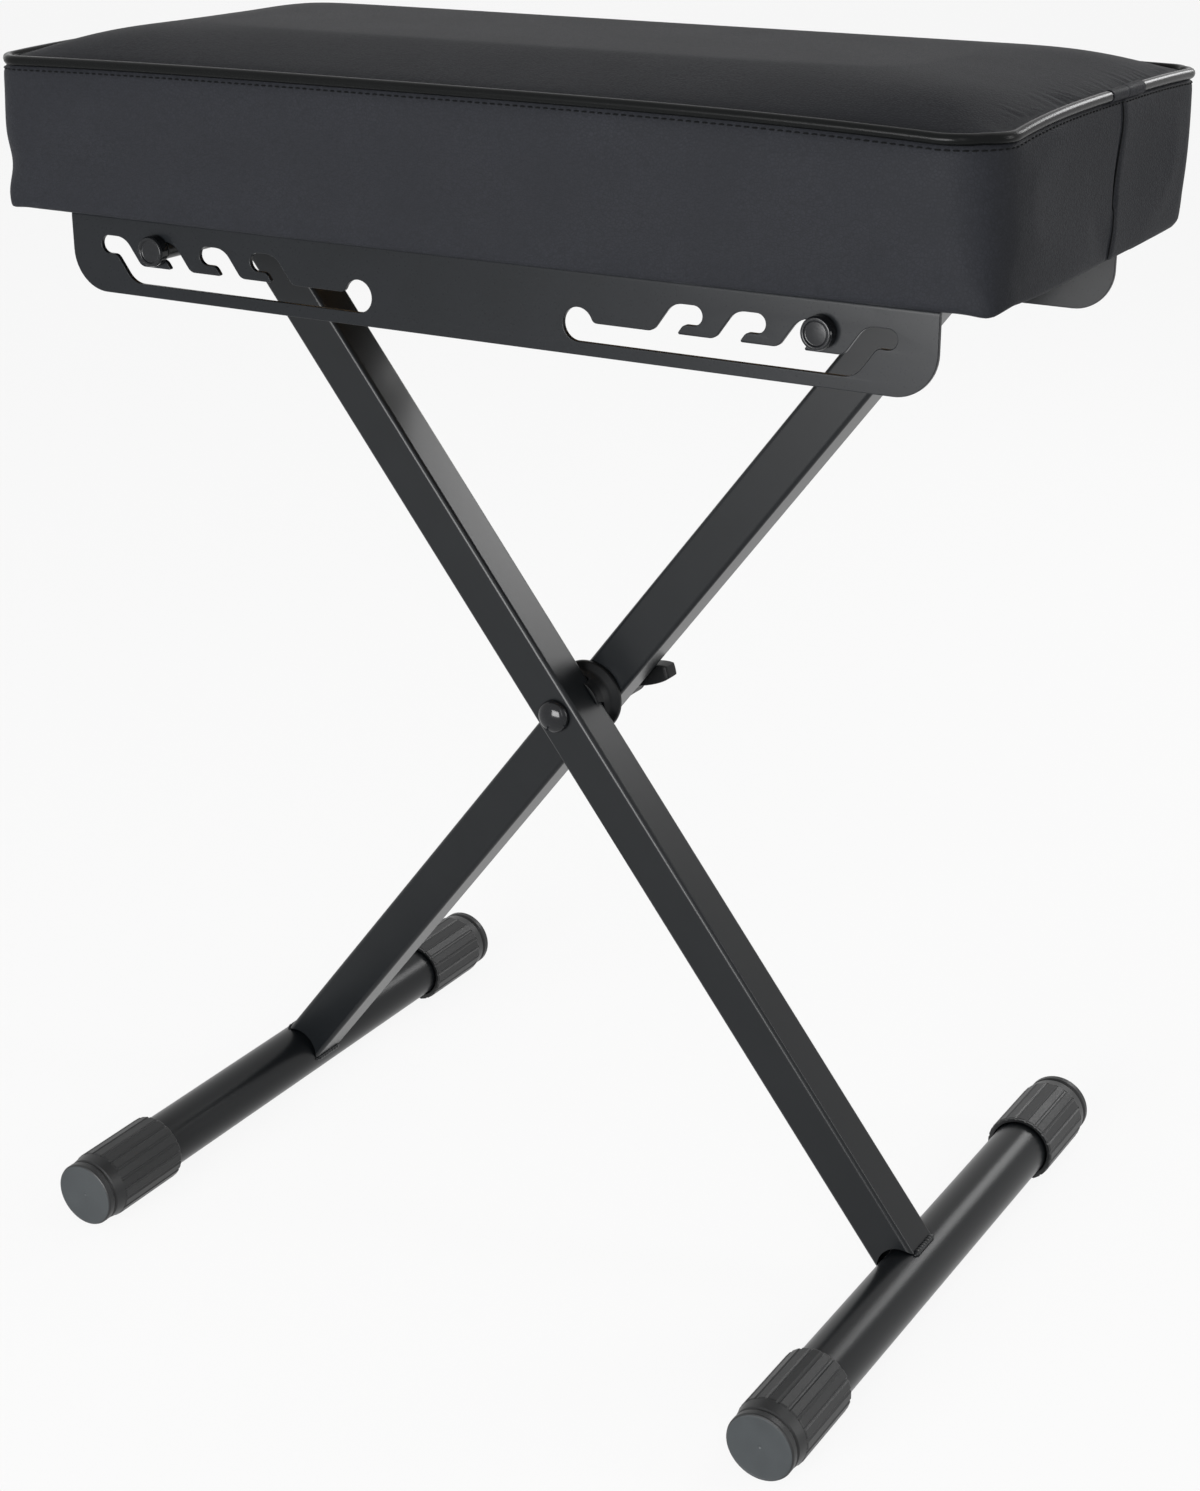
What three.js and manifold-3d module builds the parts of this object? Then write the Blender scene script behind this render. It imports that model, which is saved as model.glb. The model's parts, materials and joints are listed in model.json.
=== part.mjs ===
// Folding keyboard bench: a padded seat on two slotted steel rails, carried by a pair of crossing legs.
// Millimetres, +Z up, +X to the right, +Y away from the player's side. The origin is on the floor,
// under the middle of the seat.

import * as THREE from 'three';
import { mergeVertices } from 'three/addons/utils/BufferGeometryUtils.js';
import Module from 'manifold-3d';

const wasm = await Module();
wasm.setup();

// Clearance between pieces, how far cutters run past a face, and the turn of one step on an arc
const CLEARANCE = 0.3;
const OVERRUN = 5;
const ARC_STEP = Math.PI / 6;

// Legs: square steel tube
const LEG_SIDE = 20;
const LEG_WALL = 1.5;
const LEG_CORNER_RADIUS = 2;
const LEG_UPPER = 239;
const LEG_LOWER = 275.5;
const LEG_TOP_BEYOND_ROD = 9;
const COPE_MARGIN = 1;
const SADDLE_FLARE = 1.2;
const LEG_SPACING = 8;

// Foot bars: round steel tube in rubber caps
const BAR_RADIUS = 12.5;
const BAR_WALL = 1.5;
const BAR_OVERALL = 302;
const BAR_SHIFT = 3.6;
const BAR_FACETS = 24;
const CAP_RADIUS = 15.5;
const CAP_LENGTH = 48;
const CAP_END_WALL = 4;
const CAP_FLUTES = 20;
const CAP_RIM_RADIUS = 14.4;
const CAP_GROOVE_DEPTH = 0.8;
const CAP_RIM_HEIGHT = 5;
const CAP_MOUTH_CHAMFER = 1;

// Rails: steel angle with hook slots
const RAIL_END_INSET = 23;
const RAIL_HEIGHT = 32.6;
const RAIL_THICKNESS = 2;
const RAIL_FLANGE = 24;
const RAIL_CORNER_RADIUS = 16;
const RAIL_FACE_INSET = 15.6;

// Slots in the rails
const SLOT_WIDTH = 7.2;
const SLOT_STRIP = 5;
const HOOK_COUNT = 4;
const OUTER_HOOK_COUNT = 1;
const HOOK_END_DISTANCE = 18.6;
const HOOK_PITCH = 25;
const HOOK_HEIGHT = 19.5;
const HOOK_SLOPE_DEG = 54;
const HOOK_SEAT_RUN = 4;
const HOOK_THROAT = 7.9;
const HOOK_TOP_FILLET = 8;
const HOOK_ROOT_FILLET = 4;
const HOOK_SEAT_FILLET = 3;
const HOOK_LIP_FILLET = 0.6;
const SLOT_END_FILLET = 9;
const KEYHOLE_RADIUS = 6.25;
const KEYHOLE_TO_HOOK_DISTANCE = 47.6;
const KEYHOLE_FILLET = 2.5;

// Cross rods and their caps
const ROD_RADIUS = 4.2;
const ROD_NECK_RADIUS = 3.3;
const ROD_FACETS = 16;
const ROD_CAP_RADIUS = 6;
const ROD_CAP_FACE_RADIUS = 5;
const ROD_CAP_LENGTH = 4.6;
const ROD_CAP_BEVEL = 1.6;
const ROD_CAP_END_WALL = 1.4;

// Pivot: bolt, spacer, washer, nut and wing knob
const BOLT_RADIUS = 4;
const BOLT_HEAD_RADIUS = 7;
const BOLT_HEAD_HEIGHT = 4.5;
const BOLT_HEAD_RIM = 1;
const BOLT_NECK_SIDE = 8;
const BOLT_TIP_RECESS = 2;
const PIVOT_FACETS = 20;
const SPACER_RADIUS = 16;
const SPACER_WAIST_RADIUS = 12.6;
const SPACER_NOSE_RADIUS = 11.3;
const SPACER_FLANGE = 3.4;
const SPACER_EAR_LENGTH = 5;
const WASHER_RADIUS = 9;
const WASHER_THICKNESS = 1.6;
const NUT_ACROSS_CORNERS_RADIUS = 7.2;
const NUT_LENGTH = 8;
const NUT_SIDES = 6;
const KNOB_SPAN_RADIUS = 25;
const KNOB_HUB_RADIUS = 9.5;
const KNOB_WING_POWER = 12;
const KNOB_LENGTH = 12;
const KNOB_WING_RECESS = 2;
const KNOB_ANGLE_DEG = 16;
const KNOB_FACETS = 40;

// Cushion: board, foam and sewn cover
const SEAT_LENGTH = 426;
const SEAT_DEPTH = 200;
const SEAT_CORNER_RADIUS = 14;
const SEAT_BAND_HEIGHT = 59.6;
const SEAT_CROWN = 9.6;
const SEAT_CROWN_RUN = 60;
const SEAT_DRAW_IN = 2.2;
const SEAT_FOOT_TUCK = 1.6;
const SEAT_CORNER_DROP_HEIGHT = 2.4;
const COVER_THICKNESS = 1.2;
const HEM_TO_SCREW = 1.2;
const PIPING_RADIUS = 2;
const PIPING_OVERHANG = 1.5;
const PIPING_SIDES = 6;
const BOARD_THICKNESS = 12;
const STEPS_PER_CORNER = 5;
const STEPS_PER_LONG_SIDE = 8;
const STEPS_PER_SHORT_SIDE = 4;
const DEEPEST_CORNER_SHARE = 0.8;
const CROWN_RUN_SHARES = [0, 0.15, 0.4, 0.75, 1.25];
const WALL_RISE_SHARES = [0, 0.33, 0.67, 1];

// Rail screws and tee nuts
const SCREWS_PER_RAIL = 3;
const SCREW_END_DISTANCE = 40;
const SCREW_RADIUS = 3;
const SCREW_HEAD_RADIUS = 6;
const SCREW_HEAD_HEIGHT = 3.6;
const SCREW_CROWN_SHARE = 0.7;
const SCREW_FACETS = 12;
const TEE_NUT_FLANGE_RADIUS = 9;
const TEE_NUT_FLANGE = 1.3;
const TEE_NUT_BARREL_RADIUS = 4.2;
const TEE_NUT_BARREL = 9;

// Places worked out from the sizes above
const HALF_TURN = Math.PI;
const FULL_TURN = 2 * Math.PI;
const railHalf = SEAT_LENGTH / 2 - RAIL_END_INSET;
const railFace = SEAT_DEPTH / 2 - RAIL_FACE_INSET;
const railInner = railFace - RAIL_THICKNESS;
const lastHook = railHalf - HOOK_END_DISTANCE;
const firstHook = lastHook - HOOK_PITCH * (HOOK_COUNT - 1);
const keyholeX = firstHook - KEYHOLE_TO_HOOK_DISTANCE;
const rodX = lastHook - HOOK_PITCH * OUTER_HOOK_COUNT;
const legAngle = Math.asin(rodX / LEG_UPPER);
const barZ = CAP_RADIUS * Math.cos(HALF_TURN / CAP_FLUTES);
const pivotZ = barZ + LEG_LOWER * Math.cos(legAngle);
const rodZ = pivotZ + LEG_UPPER * Math.cos(legAngle);
const barX = LEG_LOWER * Math.sin(legAngle);
const railBottom = rodZ - HOOK_HEIGHT;
const railTop = railBottom + RAIL_HEIGHT;
const hemBottom = railTop + CLEARANCE;
const boardBottom = hemBottom + COVER_THICKNESS + CLEARANCE;
const boardTop = boardBottom + BOARD_THICKNESS;
const pipingZ = hemBottom + SEAT_BAND_HEIGHT;
const screwY = railInner - RAIL_FLANGE / 2;
const legInnerFace = LEG_SPACING / 2;
const legOuterFace = legInnerFace + LEG_SIDE;
const washerFace = legOuterFace + CLEARANCE;
const knobFace = washerFace + WASHER_THICKNESS + CLEARANCE;
const boltTip = knobFace + KNOB_LENGTH - BOLT_TIP_RECESS;

// Materials
const material = (name, color, roughness, metalness) => {
  const result = new THREE.MeshStandardMaterial({ color, roughness, metalness });
  result.name = name;
  return result;
};
const makePaint = () => material('black_powder_coat', 0x2e2f30, 0.42, 0.2);
const makeRubber = () => material('black_rubber', 0x2b2e2f, 0.7, 0);
const makePlastic = () => material('black_plastic', 0x242526, 0.5, 0);
const makeZinc = () => material('zinc_plated_steel', 0xb4b6b8, 0.35, 0.9);
const makeBlackSteel = () => material('blackened_steel', 0x1f2021, 0.3, 0.6);
const makeLeather = () => material('black_leatherette', 0x36373a, 0.45, 0);
const makeFoam = () => material('grey_foam', 0x9a9a96, 0.95, 0);
const makePly = () => material('plywood', 0xb89364, 0.8, 0);

// Mesh tools
const bench = new THREE.Group();

function addPiece(parent, name, geometry, pieceMaterial) {
  const mesh = new THREE.Mesh(geometry, pieceMaterial);
  mesh.name = name;
  parent.add(mesh);
  return mesh;
}

function toSolid(geometry) {
  const bare = geometry.clone();
  bare.deleteAttribute('normal');
  bare.deleteAttribute('uv');
  const merged = mergeVertices(bare);
  const index = merged.index.array;
  const triangles = [];
  for (let i = 0; i < index.length; i += 3) {
    const [a, b, c] = index.slice(i, i + 3);
    if (a !== b && b !== c && c !== a) triangles.push(a, b, c);
  }
  return new wasm.Manifold(new wasm.Mesh({
    numProp: 3,
    vertProperties: new Float32Array(merged.attributes.position.array),
    triVerts: new Uint32Array(triangles),
  }));
}

function toGeometry(solid) {
  const mesh = solid.getMesh();
  const geometry = new THREE.BufferGeometry();
  geometry.setAttribute('position', new THREE.BufferAttribute(new Float32Array(mesh.vertProperties), 3));
  geometry.setIndex(new THREE.BufferAttribute(new Uint32Array(mesh.triVerts), 1));
  geometry.computeVertexNormals();
  return geometry;
}

function cut(geometry, cutters) {
  return toGeometry(cutters.reduce((solid, cutter) => solid.subtract(toSolid(cutter)), toSolid(geometry)));
}

function join(geometries) {
  return toGeometry(geometries.map(toSolid).reduce((sum, solid) => sum.add(solid)));
}

// Round bars and turned pieces all have a flat facet underneath, so that those with as many facets nest.
function barAlongY(radius, yStart, yEnd, x, z, facets) {
  const phase = HALF_TURN / facets;
  const geometry = new THREE.CylinderGeometry(radius, radius, yEnd - yStart, facets, 1, false, phase);
  return geometry.translate(x, (yStart + yEnd) / 2, z);
}

function barAlongZ(radius, zStart, zEnd, x, y, facets) {
  return barAlongY(radius, zStart, zEnd, 0, 0, facets).rotateX(HALF_TURN / 2).translate(x, y, 0);
}

function boxBetween(x0, x1, y0, y1, z0, z1) {
  const geometry = new THREE.BoxGeometry(x1 - x0, y1 - y0, z1 - z0);
  return geometry.translate((x0 + x1) / 2, (y0 + y1) / 2, (z0 + z1) / 2);
}

// A turned piece along Y. Profile points are [radius, place along the axis].
function turnedAlongY(profile, facets) {
  const points = profile.map(([radius, place]) => new THREE.Vector2(radius, place));
  return new THREE.LatheGeometry(points, facets, HALF_TURN / facets);
}

// A plate in the XZ plane whose front face is at yFront.
function plateInXZ(shape, thickness, yFront) {
  const geometry = new THREE.ExtrudeGeometry(shape, { depth: thickness, bevelEnabled: false });
  return geometry.rotateX(HALF_TURN / 2).translate(0, yFront + thickness, 0);
}

// Points on an arc from one angle to another.
function arcPoints(cx, cy, radius, from, to) {
  const steps = Math.max(2, Math.ceil(Math.abs(to - from) / ARC_STEP));
  return Array.from({ length: steps + 1 }, (_, i) => {
    const angle = from + (to - from) * i / steps;
    return new THREE.Vector2(cx + radius * Math.cos(angle), cy + radius * Math.sin(angle));
  });
}

// The corner at b, between a and c, rounded with an arc.
function filletPoints(a, b, c, radius) {
  const toA = a.clone().sub(b).normalize();
  const toC = c.clone().sub(b).normalize();
  const half = Math.acos(THREE.MathUtils.clamp(toA.dot(toC), -1, 1)) / 2;
  const room = Math.min(a.distanceTo(b), b.distanceTo(c)) * Math.tan(half);
  const fitted = Math.min(radius, room);
  const centre = b.clone().addScaledVector(toA.clone().add(toC).normalize(), fitted / Math.sin(half));
  const start = b.clone().addScaledVector(toA, fitted / Math.tan(half)).sub(centre);
  const end = b.clone().addScaledVector(toC, fitted / Math.tan(half)).sub(centre);
  let sweep = end.angle() - start.angle();
  if (sweep > HALF_TURN) sweep -= FULL_TURN;
  if (sweep < -HALF_TURN) sweep += FULL_TURN;
  return arcPoints(centre.x, centre.y, fitted, start.angle(), start.angle() + sweep);
}

// An outline from corners, each with its place and its fillet radius.
function roundedOutline(corners) {
  const places = corners.map(({ x, y }) => new THREE.Vector2(x, y));
  const count = corners.length;
  return corners.flatMap(({ radius }, i) => {
    const before = places[(i + count - 1) % count];
    const after = places[(i + 1) % count];
    return radius > 0 ? filletPoints(before, places[i], after, radius) : [places[i]];
  });
}

// Closed solid from rings of points: each ring joins the next, and the two ends are filled.
// With closed true the last ring joins the first one instead. Rising and falling walls split their
// faces alike, so that walls nested in one another stay parallel.
function ringSolid(rings, closed) {
  const count = rings[0].length;
  const positions = rings.flat().flatMap((point) => [point.x, point.y, point.z]);
  const index = [];
  const last = closed ? rings.length : rings.length - 1;
  for (let k = 0; k < last; k += 1) {
    const lower = k * count;
    const upper = ((k + 1) % rings.length) * count;
    const rising = rings[(k + 1) % rings.length][0].z >= rings[k][0].z;
    for (let i = 0; i < count; i += 1) {
      const j = (i + 1) % count;
      if (rising) {
        index.push(lower + i, lower + j, upper + j);
        index.push(lower + i, upper + j, upper + i);
      } else {
        index.push(lower + i, lower + j, upper + i);
        index.push(lower + j, upper + j, upper + i);
      }
    }
  }
  if (!closed) {
    [0, rings.length - 1].forEach((k) => {
      const centre = new THREE.Vector3();
      rings[k].forEach((point) => centre.addScaledVector(point, 1 / count));
      const hub = positions.length / 3;
      positions.push(centre.x, centre.y, centre.z);
      for (let i = 0; i < count; i += 1) {
        const j = (i + 1) % count;
        const start = k * count;
        if (k === 0) index.push(hub, start + j, start + i);
        else index.push(hub, start + i, start + j);
      }
    });
  }
  const geometry = new THREE.BufferGeometry();
  geometry.setAttribute('position', new THREE.BufferAttribute(new Float32Array(positions), 3));
  geometry.setIndex(index);
  geometry.computeVertexNormals();
  return geometry;
}

// Points round the seat, counterclockwise from above. Each has the hub that its corner radius swings on,
// its outward direction, and how near it is to a corner, from 0 in the middle of a side to 1.
const seatOutline = (() => {
  const corners = [[1, -1], [1, 1], [-1, 1], [-1, -1]];
  const sideSteps = [STEPS_PER_SHORT_SIDE, STEPS_PER_LONG_SIDE, STEPS_PER_SHORT_SIDE, STEPS_PER_LONG_SIDE];
  const straight = new THREE.Vector2(SEAT_LENGTH, SEAT_DEPTH).divideScalar(2).subScalar(SEAT_CORNER_RADIUS);
  const result = [];
  corners.forEach(([sx, sy], k) => {
    const start = HALF_TURN / 2 * (k - 1);
    const hub = new THREE.Vector2(sx, sy).multiply(straight);
    for (let i = 0; i <= STEPS_PER_CORNER; i += 1) {
      const angle = start + HALF_TURN / 2 * i / STEPS_PER_CORNER;
      result.push({ hub, outward: new THREE.Vector2(Math.cos(angle), Math.sin(angle)), corner: 1 });
    }
    const outward = result[result.length - 1].outward;
    const nextHub = new THREE.Vector2(...corners[(k + 1) % corners.length]).multiply(straight);
    for (let i = 1; i < sideSteps[k]; i += 1) {
      const share = i / sideSteps[k];
      const corner = Math.abs(share + share - 1) ** 3;
      result.push({ hub: hub.clone().lerp(nextHub, share), outward, corner });
    }
  });
  return result;
})();

// A ring round the seat at a distance in from the outline. A deep inset draws the hubs in as well.
function seatRing(insetOf, heightOf) {
  const halfLength = SEAT_LENGTH / 2 - SEAT_CORNER_RADIUS;
  const halfDepth = SEAT_DEPTH / 2 - SEAT_CORNER_RADIUS;
  const deepest = SEAT_CORNER_RADIUS * DEEPEST_CORNER_SHARE;
  return seatOutline.map((point) => {
    const inset = insetOf(point);
    const shift = Math.max(0, inset - deepest);
    const radius = SEAT_CORNER_RADIUS - inset + shift;
    const x = point.hub.x * (1 - shift / halfLength) + point.outward.x * radius;
    const y = point.hub.y * (1 - shift / halfDepth) + point.outward.y * radius;
    return new THREE.Vector3(x, y, heightOf(point));
  });
}

// How far the side of the cushion lies inside the outline, at a share of its height.
function sideInset(point, heightShare) {
  const drawn = SEAT_DRAW_IN * (1 - point.corner) * Math.sin(HALF_TURN * heightShare);
  return drawn + SEAT_FOOT_TUCK * (1 - heightShare) ** 2;
}

function seamHeight(point) {
  return pipingZ - SEAT_CORNER_DROP_HEIGHT * point.corner;
}

// Height of the crowned top at a share of its run in from the seam.
function crownHeight(point, runShare) {
  const rest = (1 - Math.min(runShare, 1)) ** 2;
  return pipingZ - SEAT_CORNER_DROP_HEIGHT * point.corner * rest + SEAT_CROWN * (1 - rest);
}

function addSeat() {
  const leather = makeLeather();
  const seamInset = PIPING_RADIUS - PIPING_OVERHANG;
  const panelInset = seamInset + PIPING_RADIUS + CLEARANCE;
  const crownRing = (runShare, depth, gap) => seatRing(
    () => panelInset + gap + SEAT_CROWN_RUN * runShare,
    (point) => crownHeight(point, runShare) - depth,
  );
  const panel = ringSolid([
    ...CROWN_RUN_SHARES.map((share) => crownRing(share, COVER_THICKNESS, 0)).reverse(),
    ...CROWN_RUN_SHARES.map((share) => crownRing(share, 0, 0)),
  ], false);
  addPiece(bench, 'cover_top_panel', panel, leather);

  const foamBottom = boardTop + CLEARANCE;
  const foamDepth = COVER_THICKNESS + CLEARANCE;
  const foamShare = (foamBottom - hemBottom) / SEAT_BAND_HEIGHT;
  const foamShares = WALL_RISE_SHARES.map((share) => foamShare + (1 - foamShare) * share);
  const wallShares = [0, ...foamShares];
  const wallHeight = (point, share) => (
    hemBottom + (seamHeight(point) - PIPING_RADIUS - CLEARANCE - hemBottom) * share
  );
  const wallRing = (share, depth) => seatRing(
    (point) => sideInset(point, share) + depth,
    (point) => Math.max(wallHeight(point, share), hemBottom + depth),
  );
  const hemWidth = SEAT_DEPTH / 2 - screwY - SCREW_RADIUS - HEM_TO_SCREW;
  const band = ringSolid([
    seatRing(() => hemWidth, () => hemBottom),
    ...wallShares.map((share) => wallRing(share, 0)),
    ...wallShares.map((share) => wallRing(share, COVER_THICKNESS)).reverse(),
    seatRing(() => hemWidth, () => hemBottom + COVER_THICKNESS),
  ], true);
  addPiece(bench, 'cover_side_band', band, leather);

  const pipingAngles = Array.from({ length: PIPING_SIDES }, (_, i) => FULL_TURN * i / PIPING_SIDES);
  const piping = ringSolid(pipingAngles.map((angle) => seatRing(
    () => seamInset - PIPING_RADIUS * Math.cos(angle),
    (point) => seamHeight(point) + PIPING_RADIUS * Math.sin(angle),
  )), true);
  addPiece(bench, 'cover_piping', piping, leather);

  const foam = ringSolid([
    ...foamShares.map((share) => seatRing(
      (point) => sideInset(point, share) + foamDepth,
      (point) => Math.max(foamBottom, wallHeight(point, share) - CLEARANCE),
    )),
    ...CROWN_RUN_SHARES.map((share) => crownRing(share, foamDepth, CLEARANCE)),
  ], false);
  addPiece(bench, 'foam_block', foam, makeFoam());

  const boardInset = foamDepth + SEAT_DRAW_IN + SEAT_FOOT_TUCK;
  const board = ringSolid([
    seatRing(() => boardInset, () => boardBottom),
    seatRing(() => boardInset, () => boardTop),
  ], false);
  const holes = screwPlaces().flatMap(([x, y]) => [
    barAlongZ(TEE_NUT_BARREL_RADIUS + CLEARANCE, boardBottom - OVERRUN, boardTop, x, y, SCREW_FACETS),
    barAlongZ(TEE_NUT_FLANGE_RADIUS + CLEARANCE, boardTop - TEE_NUT_FLANGE - CLEARANCE, boardTop + OVERRUN,
      x, y, SCREW_FACETS),
  ]);
  addPiece(bench, 'seat_board', cut(board, holes), makePly());
}

// Rails
function screwPlaces() {
  const last = railHalf - SCREW_END_DISTANCE;
  const places = Array.from({ length: SCREWS_PER_RAIL }, (_, i) => (
    THREE.MathUtils.lerp(-last, last, i / (SCREWS_PER_RAIL - 1))
  ));
  return [-screwY, screwY].flatMap((y) => places.map((x) => [x, y]));
}

// Outline of one slot. Distances run outwards from the middle of the rail and up from its bottom edge.
function slotOutline() {
  const slope = THREE.MathUtils.degToRad(HOOK_SLOPE_DEG);
  const halfWidth = SLOT_WIDTH / 2;
  const roof = SLOT_STRIP + SLOT_WIDTH;
  const seat = HOOK_HEIGHT - halfWidth;
  const top = HOOK_HEIGHT + halfWidth;
  const hooks = Array.from({ length: HOOK_COUNT }, (_, i) => lastHook - HOOK_PITCH * i);
  const lowerLineAt = (hook, height) => hook - HOOK_SEAT_RUN - (seat - height) / Math.tan(slope);
  const upperLineAt = (hook, height) => lowerLineAt(hook, height) - HOOK_THROAT / Math.sin(slope);
  const corner = (x, y, radius) => ({ x, y, radius });

  const corners = [corner(keyholeX, SLOT_STRIP, 0)];
  hooks.forEach((hook, i) => {
    const outermost = i === 0;
    corners.push(outermost
      ? corner(lowerLineAt(hook, SLOT_STRIP), SLOT_STRIP, SLOT_END_FILLET)
      : corner(lowerLineAt(hook, roof), roof, HOOK_LIP_FILLET));
    corners.push(corner(hook - HOOK_SEAT_RUN, seat, HOOK_SEAT_FILLET));
    corners.push(corner(hook + halfWidth, seat, halfWidth));
    corners.push(corner(hook + halfWidth, top, halfWidth));
    corners.push(corner(upperLineAt(hook, top), top, HOOK_TOP_FILLET));
    corners.push(corner(upperLineAt(hook, roof), roof, HOOK_ROOT_FILLET));
  });
  const keyholeHeight = SLOT_STRIP + KEYHOLE_RADIUS;
  const reach = KEYHOLE_RADIUS + KEYHOLE_FILLET;
  const rise = roof + KEYHOLE_FILLET - keyholeHeight;
  const filletX = keyholeX + Math.sqrt(reach ** 2 - rise ** 2);
  corners.push(corner(filletX, roof, 0));

  const places = roundedOutline(corners);
  const turn = Math.atan2(rise, filletX - keyholeX);
  const fillet = arcPoints(filletX, roof + KEYHOLE_FILLET, KEYHOLE_FILLET, -HALF_TURN / 2, turn - HALF_TURN);
  const keyhole = arcPoints(keyholeX, keyholeHeight, KEYHOLE_RADIUS, turn, HALF_TURN * 3 / 2);
  return [...places, ...fillet.slice(1), ...keyhole.slice(1, -1)];
}

function makeRail() {
  const plate = new THREE.Shape(roundedOutline([
    { x: -railHalf, y: 0, radius: RAIL_CORNER_RADIUS },
    { x: railHalf, y: 0, radius: RAIL_CORNER_RADIUS },
    { x: railHalf, y: RAIL_HEIGHT, radius: 0 },
    { x: -railHalf, y: RAIL_HEIGHT, radius: 0 },
  ]));
  const rightSlot = slotOutline();
  const leftSlot = rightSlot.map((point) => new THREE.Vector2(-point.x, point.y)).reverse();
  plate.holes.push(new THREE.Path(rightSlot), new THREE.Path(leftSlot));
  const web = plateInXZ(plate, RAIL_THICKNESS, -railFace).translate(0, 0, railBottom);
  const flangeBottom = railTop - RAIL_THICKNESS;
  const flange = boxBetween(-railHalf, railHalf, -railFace, -railInner + RAIL_FLANGE, flangeBottom, railTop);
  const holes = screwPlaces().filter(([, y]) => y < 0).map(([x, y]) => (
    barAlongZ(SCREW_RADIUS + CLEARANCE, railTop - OVERRUN, railTop + OVERRUN, x, y, SCREW_FACETS)
  ));
  return cut(join([web, flange]), holes);
}

function addRails() {
  const paint = makePaint();
  const rail = makeRail();
  addPiece(bench, 'front_rail', rail, paint);
  addPiece(bench, 'rear_rail', rail.clone(), paint).rotation.z = HALF_TURN;

  const zinc = makeZinc();
  const seatHeight = railTop - RAIL_THICKNESS - CLEARANCE;
  const screwLength = boardTop - TEE_NUT_FLANGE - seatHeight;
  const screw = turnedAlongY([
    [0, -SCREW_HEAD_HEIGHT],
    [SCREW_HEAD_RADIUS * SCREW_CROWN_SHARE, -SCREW_HEAD_HEIGHT],
    [SCREW_HEAD_RADIUS, -SCREW_HEAD_HEIGHT / 2],
    [SCREW_HEAD_RADIUS, 0],
    [SCREW_RADIUS, 0],
    [SCREW_RADIUS, screwLength],
    [0, screwLength],
  ], SCREW_FACETS).rotateX(HALF_TURN / 2);
  const bore = SCREW_RADIUS + CLEARANCE;
  const teeNut = turnedAlongY([
    [bore, -TEE_NUT_BARREL],
    [TEE_NUT_BARREL_RADIUS, -TEE_NUT_BARREL],
    [TEE_NUT_BARREL_RADIUS, -TEE_NUT_FLANGE],
    [TEE_NUT_FLANGE_RADIUS, -TEE_NUT_FLANGE],
    [TEE_NUT_FLANGE_RADIUS, 0],
    [bore, 0],
    [bore, -TEE_NUT_BARREL],
  ], SCREW_FACETS).rotateX(HALF_TURN / 2);
  screwPlaces().forEach(([x, y], i) => {
    addPiece(bench, `rail_screw_${i + 1}`, screw.clone(), zinc).position.set(x, y, seatHeight);
    addPiece(bench, `tee_nut_${i + 1}`, teeNut.clone(), zinc).position.set(x, y, boardTop);
  });
}

// Cross rods
function addRods() {
  const shoulder = railInner - CLEARANCE;
  const capDepth = ROD_CAP_LENGTH - ROD_CAP_END_WALL;
  const neckEnd = railFace + capDepth;
  const rod = turnedAlongY([
    [0, -neckEnd],
    [ROD_NECK_RADIUS, -neckEnd],
    [ROD_NECK_RADIUS, -shoulder],
    [ROD_RADIUS, -shoulder],
    [ROD_RADIUS, shoulder],
    [ROD_NECK_RADIUS, shoulder],
    [ROD_NECK_RADIUS, neckEnd],
    [0, neckEnd],
  ], ROD_FACETS);
  const bore = ROD_NECK_RADIUS + CLEARANCE;
  const cap = turnedAlongY([
    [0, capDepth],
    [bore, capDepth],
    [bore, 0],
    [ROD_CAP_RADIUS, 0],
    [ROD_CAP_RADIUS, ROD_CAP_LENGTH - ROD_CAP_BEVEL],
    [ROD_CAP_FACE_RADIUS, ROD_CAP_LENGTH],
    [0, ROD_CAP_LENGTH],
  ], ROD_FACETS);
  [['left', -rodX], ['right', rodX]].forEach(([side, x]) => {
    addPiece(bench, `${side}_cross_rod`, rod.clone(), makePaint()).position.set(x, 0, rodZ);
    const rear = addPiece(bench, `${side}_rod_cap_rear`, cap.clone(), makeBlackSteel());
    rear.position.set(x, railFace + CLEARANCE, rodZ);
    const front = addPiece(bench, `${side}_rod_cap_front`, cap.clone(), makeBlackSteel());
    front.position.set(x, -railFace - CLEARANCE, rodZ);
    front.rotation.z = HALF_TURN;
  });
}

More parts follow.
